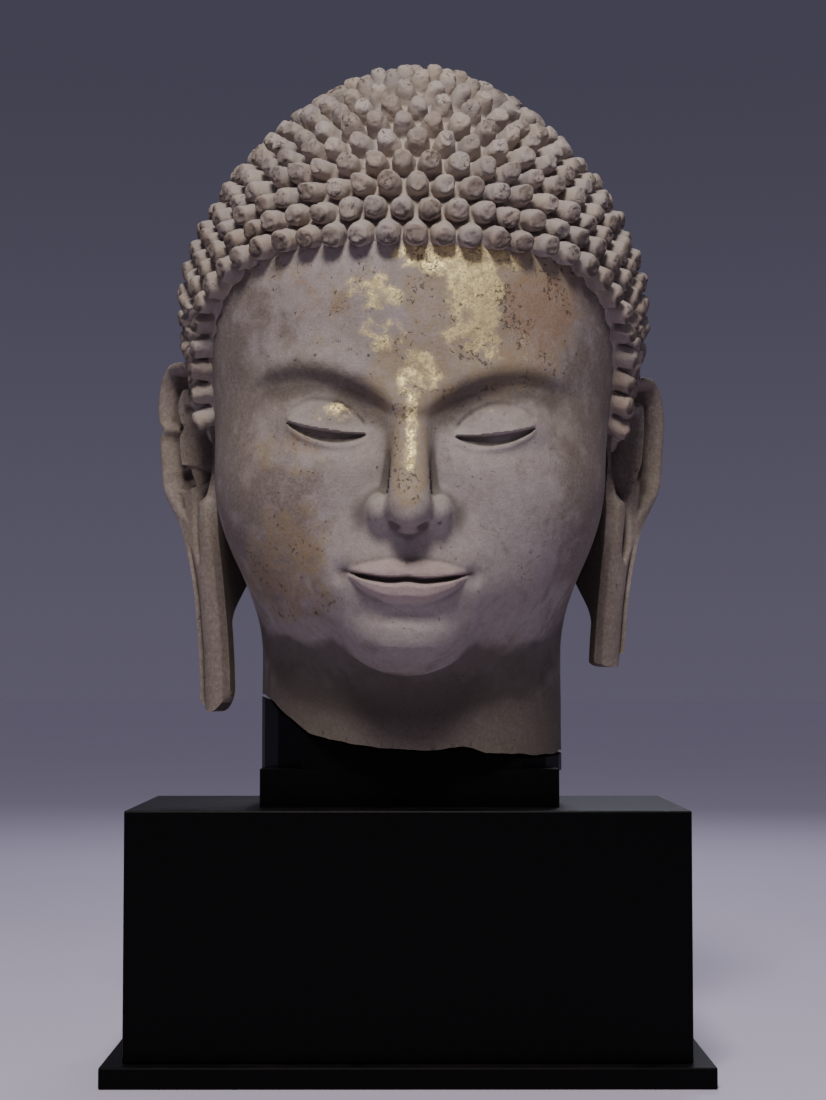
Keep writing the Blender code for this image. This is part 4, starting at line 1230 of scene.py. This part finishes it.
# Geometry nodes of the curls
def curl_tree():
    """Each cell of the scalp mesh is drawn out along its own axis into a round, worn knob."""
    tree = bpy.data.node_groups.new("Carved curls", "GeometryNodeTree")
    sockets = (
        ("Geometry", "NodeSocketGeometry", None), ("Height", "NodeSocketFloat", 0.022),
        ("Radius", "NodeSocketFloat", 0.012), ("Rounding", "NodeSocketInt", 2),
        ("Wear", "NodeSocketFloat", 0.001), ("Seed", "NodeSocketInt", 1),
        ("Material", "NodeSocketMaterial", None),
    )
    for name, kind, default in sockets:
        socket = tree.interface.new_socket(name=name, in_out="INPUT", socket_type=kind)
        if default is not None:
            socket.default_value = default
    tree.interface.new_socket(name="Geometry", in_out="OUTPUT", socket_type="NodeSocketGeometry")
    given = tree.nodes.new("NodeGroupInput").outputs

    def named(name, kind):
        item = add(tree, "GeometryNodeInputNamedAttribute", {"Name": name}, data_type=kind)
        return item.outputs["Attribute"]

    def vector(operation, first, second=None, scale=None):
        inputs = {0: first}
        if second is not None:
            inputs[1] = second
        if scale is not None:
            inputs["Scale"] = scale
        item = add(tree, "ShaderNodeVectorMath", inputs, operation=operation)
        return item.outputs["Value" if operation == "DOT_PRODUCT" else "Vector"]

    axis, foot, size = named("axis", "FLOAT_VECTOR"), named("foot", "FLOAT_VECTOR"), named("size", "FLOAT")
    position = add(tree, "GeometryNodeInputPosition").outputs[0]
    seed = times(tree, given["Seed"], 1.37)
    mesh, chosen = given["Geometry"], named("curl", "BOOLEAN")
    for rise, girth, roundness, tip in CURL_RINGS:
        drawn = add(tree, "GeometryNodeExtrudeMesh", {
            "Mesh": mesh, "Selection": chosen, "Offset Scale": 0.0, "Individual": True}, mode="FACES")
        chosen = drawn.outputs["Top"]
        away = vector("SUBTRACT", position, foot)
        along = vector("SCALE", axis, scale=vector("DOT_PRODUCT", away, axis))
        across = vector("SUBTRACT", away, along)
        ring = vector("SCALE", vector("NORMALIZE", across), scale=times(
            tree, times(tree, given["Radius"], size), girth))
        spread = add(tree, "ShaderNodeMix", {0: roundness, 4: across, 5: ring}, data_type="VECTOR")
        lifted = vector("SCALE", axis, scale=times(
            tree, times(tree, given["Height"], size), rise))
        place = vector("ADD", vector("ADD", foot, lifted), spread.outputs[1])
        moved = add(tree, "GeometryNodeSetPosition", {
            "Geometry": drawn.outputs["Mesh"], "Selection": chosen, "Position": place})
        kept = add(tree, "GeometryNodeStoreNamedAttribute", {
            "Geometry": moved.outputs[0], "Selection": chosen, "Name": "tip", "Value": tip},
            data_type="FLOAT", domain="POINT")
        mesh = kept.outputs[0]

    def shake(geometry, scale, depth, cut):
        """Moves the surface by noise: inwards only where it is to be cut, or else every way."""
        field = add(tree, "ShaderNodeTexNoise", {
            "Vector": position, "W": seed, "Scale": scale, "Detail": 3.0}, noise_dimensions="4D")
        if cut:
            normal = add(tree, "GeometryNodeInputNormal").outputs[0]
            inward = times(tree, ramp(tree, field.outputs["Fac"], 0.42, 0.68), -1.0)
            shift = vector("SCALE", vector("SCALE", normal, scale=inward), scale=depth)
        else:
            centred = vector("SUBTRACT", field.outputs["Color"], (0.5, 0.5, 0.5))
            shift = vector("SCALE", centred, scale=depth)
        return add(tree, "GeometryNodeSetPosition", {"Geometry": geometry, "Offset": shift}).outputs[0]

    mesh = shake(mesh, CURL_BUMP_SCALE, times(tree, given["Wear"], 4.0), False)
    smooth = add(tree, "GeometryNodeSubdivisionSurface", {"Mesh": mesh, "Level": given["Rounding"]})
    mesh = shake(smooth.outputs[0], CURL_PIT_SCALE, given["Wear"], True)
    smooth_faces = add(tree, "GeometryNodeSetShadeSmooth", {"Geometry": mesh})
    real = add(tree, "GeometryNodeRealizeInstances", {"Geometry": smooth_faces.outputs[0]})
    done = add(tree, "GeometryNodeSetMaterial", {
        "Geometry": real.outputs[0], "Material": given["Material"]})
    tree.links.new(done.outputs[0], tree.nodes.new("NodeGroupOutput").inputs[0])
    return tree


def set_inputs(modifier, **values):
    """Gives the tree's inputs, found by their labels, to the modifier by their identifiers."""
    for item in modifier.node_group.interface.items_tree:
        if item.in_out == "INPUT" and item.name in values:
            modifier[item.identifier] = values[item.name]


def cell_mesh(corners, loops, feet, axes, sizes, tones):
    """Closed shell: one face for each curl, and the same faces again further inside the stone."""
    used, tops = compact(loops, len(corners))
    outer = lift(corners[used], scalp)
    inner = outer - corners[used] * HAIR_ROOT
    count = len(used)
    walls = [(b, a, a + count, b + count) for a, b in rim_edges(tops)]
    tops = [top.tolist() for top in tops]
    unders = [[i + count for i in reversed(top)] for top in tops]
    mesh = bpy.data.meshes.new("cells")
    mesh.from_pydata(to_world(np.concatenate([outer, inner])).tolist(), [], tops + unders + walls)
    total, curls = len(mesh.polygons), len(tops)
    turn = np.stack([to_world(v[None])[0] - to_world(np.zeros((1, 3)))[0] for v in axes])
    for name, kind, key, values in (
        ("axis", "FLOAT_VECTOR", "vector", turn), ("foot", "FLOAT_VECTOR", "vector", to_world(feet)),
        ("size", "FLOAT", "value", sizes), ("tone", "FLOAT", "value", tones),
        ("curl", "BOOLEAN", "value", np.ones(curls)),
    ):
        layer = mesh.attributes.new(name, kind, "FACE")
        values = np.asarray(values, dtype=np.float32)
        full = np.zeros((total,) + values.shape[1:], np.float32)
        full[:curls] = values
        layer.data.foreach_set(key, full.astype(bool).ravel() if kind == "BOOLEAN" else full.ravel())
    return mesh


def material_named(name, make):
    """A material that is made once and then used again."""
    if name not in bpy.data.materials:
        make(bpy.context.scene.head_colours)
    return bpy.data.materials[name]


# One operator for each piece or group of pieces
class CarveHead(bpy.types.Operator):
    """Carve the face, the ears and the broken neck as one stone"""
    bl_idname = "stone_head.carve_head"
    bl_label = "Carve head"

    def execute(self, context):
        settings = context.scene.head_sizes
        curls, ring = curl_sites(context.scene.curl_sizes)
        corners, loops = curl_cells(curls, ring)
        mesh = skin_mesh(settings, corners, outline_of(loops))
        face_outwards(mesh)
        head = put("carved_head", mesh)
        for ear in EARS:
            boolean(head, ear_mesh(*ear), "UNION")
        boolean(head, break_mesh(settings.break_depth), "DIFFERENCE")
        wear_down(head.data, settings.wear)
        # How sunken each vertex is, for the painted shade and grime in the hollows
        store(head.data, "hollow", hollowness(head.data, HEAD_HOLLOW_ROUNDS))
        paint_marks(head.data)
        head.data.materials.clear()
        head.data.materials.append(material_named("gilded_stone", stone_material))
        head.data.shade_smooth()
        head.data.set_sharp_from_angle(angle=SHARP_ANGLE)
        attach(head, "root")
        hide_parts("head")
        return {"FINISHED"}


class CarveCurls(bpy.types.Operator):
    """Carve the cap of hair curls, in four quarters"""
    bl_idname = "stone_head.carve_curls"
    bl_label = "Carve curls"

    def execute(self, context):
        settings = context.scene.curl_sizes
        curls, ring = curl_sites(settings)
        corners, loops = curl_cells(curls, ring)
        feet = lift(curls, scalp)
        rng = np.random.default_rng(settings.seed + 1)
        aside = smoothstep(0.10, 0.19, np.abs(feet[:, 0])) * smoothstep(0.14, 0.02, feet[:, 2])
        axes = unit(curl_axis(outward(feet, scalp)) + rng.normal(0, CURL_SHAKE, feet.shape)
                    + rng.normal(0, CURL_SIDE_SHAKE, feet.shape) * aside[:, None])
        sizes = 1 + rng.uniform(-0.05, 0.04, len(curls)) - rng.uniform(0, 0.28, len(curls)) ** 1.5 * aside
        low = 0.3 * smoothstep(0.225, 0.120, feet[:, 2])
        tones = rng.uniform(0, 0.5, len(curls)) + low + 0.2 * smoothstep(0.12, 0.18, np.abs(feet[:, 0]))
        turn = np.degrees(np.arctan2(feet[:, 0], feet[:, 1]))
        quarter = np.round(turn / 90).astype(int) % 4
        tree = curl_tree()
        finish = material_named("hair_stone", hair_material)
        for number, name in enumerate(("curls_front", "curls_right", "curls_back", "curls_left")):
            own = np.nonzero(quarter == number)[0]
            mesh = cell_mesh(corners, [loops[i] for i in own], feet[own], axes[own], sizes[own], tones[own])
            face_outwards(mesh)
            part = put(name, mesh)
            step = part.modifiers.new("curls", "NODES")
            step.node_group = tree
            set_inputs(step, Height=settings.height, Radius=settings.radius, Rounding=settings.rounding,
                       Wear=settings.wear, Seed=settings.seed, Material=finish)
            evaluated(part)
            # How sunken each vertex is, for the painted shade and grime in the hollows
            store(part.data, "hollow", hollowness(part.data, CURL_HOLLOW_ROUNDS))
            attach(part, "root")
            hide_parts("head")
        return {"FINISHED"}


class FinishStand(bpy.types.Operator):
    """Give the post, the box and the plinth their black lacquer"""
    bl_idname = "stone_head.finish_stand"
    bl_label = "Finish stand"

    def execute(self, context):
        finish = material_named("black_lacquer", stand_material)
        for name in ("support_post", "stand_body", "stand_plinth"):
            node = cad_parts[name]
            if not node.material_slots:
                raise RuntimeError("the stand's nodes need a material slot")
            for slot in node.material_slots:
                slot.link = "OBJECT"
                slot.material = finish
        return {"FINISHED"}


class SetStage(bpy.types.Operator):
    """Lay the floor and backdrop, and place the lights and the camera"""
    bl_idname = "stone_head.set_stage"
    bl_label = "Set stage"

    def execute(self, context):
        stage_floor(context.scene.head_colours)
        for lamp in LAMPS:
            area_light(*lamp)
        context.scene.world = studio_world()
        data = bpy.data.cameras.new("camera")
        data.sensor_width = SENSOR_WIDTH
        data.lens = CAMERA_LENS
        camera = put("camera", data)
        camera.location = CAMERA_PLACE
        camera.rotation_euler = CAMERA_TURN
        context.scene.camera = camera
        return {"FINISHED"}


def studio_world():
    """Grey-violet surroundings: dim behind the work, fading down to the floor, lighter overhead."""
    world = bpy.data.worlds.new("studio")
    world.use_nodes = True
    tree = world.node_tree
    direction = add(tree, "ShaderNodeTexCoord").outputs["Generated"]
    up = add(tree, "ShaderNodeSeparateXYZ", {0: direction}).outputs["Z"]
    tone = blend(tree, ramp(tree, up, -0.06, 0.30), HORIZON, BACKDROP)
    tone = blend(tree, ramp(tree, up, 0.40, 0.95), tone, OVERHEAD)
    tree.links.new(tone, tree.nodes["Background"].inputs["Color"])
    return world


def stage_floor(colours):
    """Round floor, wide enough to reach the horizon softly."""
    mesh = bpy.data.meshes.new("floor")
    shape = bmesh.new()
    bmesh.ops.create_circle(shape, cap_ends=True, segments=96, radius=FLOOR_RADIUS)
    shape.to_mesh(mesh)
    shape.free()
    finish, tree, sockets, place = new_material("pale_floor")
    cloud = flakes_on(tree, place)(0.5, 0.5, 0.3)
    soft = tuple(0.96 * v for v in colours.floor)
    tree.links.new(blend(tree, cloud, rgba(colours.floor), rgba(soft)), sockets["Base Color"])
    sockets["Roughness"].default_value = 0.75
    mesh.materials.append(finish)
    floor = put("floor", mesh)


def area_light(name, place, target, size, power, tint):
    data = bpy.data.lights.new(name, "AREA")
    data.size = size
    data.energy = power
    data.color = tint
    lamp = put(name, data)
    lamp.location = place
    lamp.rotation_euler = (Vector(target) - Vector(place)).to_track_quat("-Z", "Y").to_euler()


class StoneHeadPanel(bpy.types.Panel):
    """Sizes, colours and steps of the stone head"""
    bl_idname = "VIEW3D_PT_stone_head"
    bl_label = "Stone head"
    bl_space_type = "VIEW_3D"
    bl_region_type = "UI"
    bl_category = "Stone head"

    def draw(self, context):
        scene = context.scene
        for settings in (scene.head_sizes, scene.curl_sizes, scene.head_colours):
            box = self.layout.box()
            for name in settings.__annotations__:
                box.prop(settings, name)
        for step in OPERATORS:
            self.layout.operator(step.bl_idname)


OPERATORS = (CarveHead, CarveCurls, FinishStand, SetStage)
CLASSES = (HeadSettings, CurlSettings, ColourSettings, *OPERATORS, StoneHeadPanel)


def register():
    for item in CLASSES:
        bpy.utils.register_class(item)
    bpy.types.Scene.head_sizes = bpy.props.PointerProperty(type=HeadSettings)
    bpy.types.Scene.curl_sizes = bpy.props.PointerProperty(type=CurlSettings)
    bpy.types.Scene.head_colours = bpy.props.PointerProperty(type=ColourSettings)


def unregister():
    del bpy.types.Scene.head_colours
    del bpy.types.Scene.curl_sizes
    del bpy.types.Scene.head_sizes
    for item in reversed(CLASSES):
        bpy.utils.unregister_class(item)


def main():
    register()
    bpy.ops.stone_head.set_stage()
    bpy.ops.stone_head.carve_head()
    bpy.ops.stone_head.carve_curls()
    bpy.ops.stone_head.finish_stand()


if __name__ == "__main__":
    main()
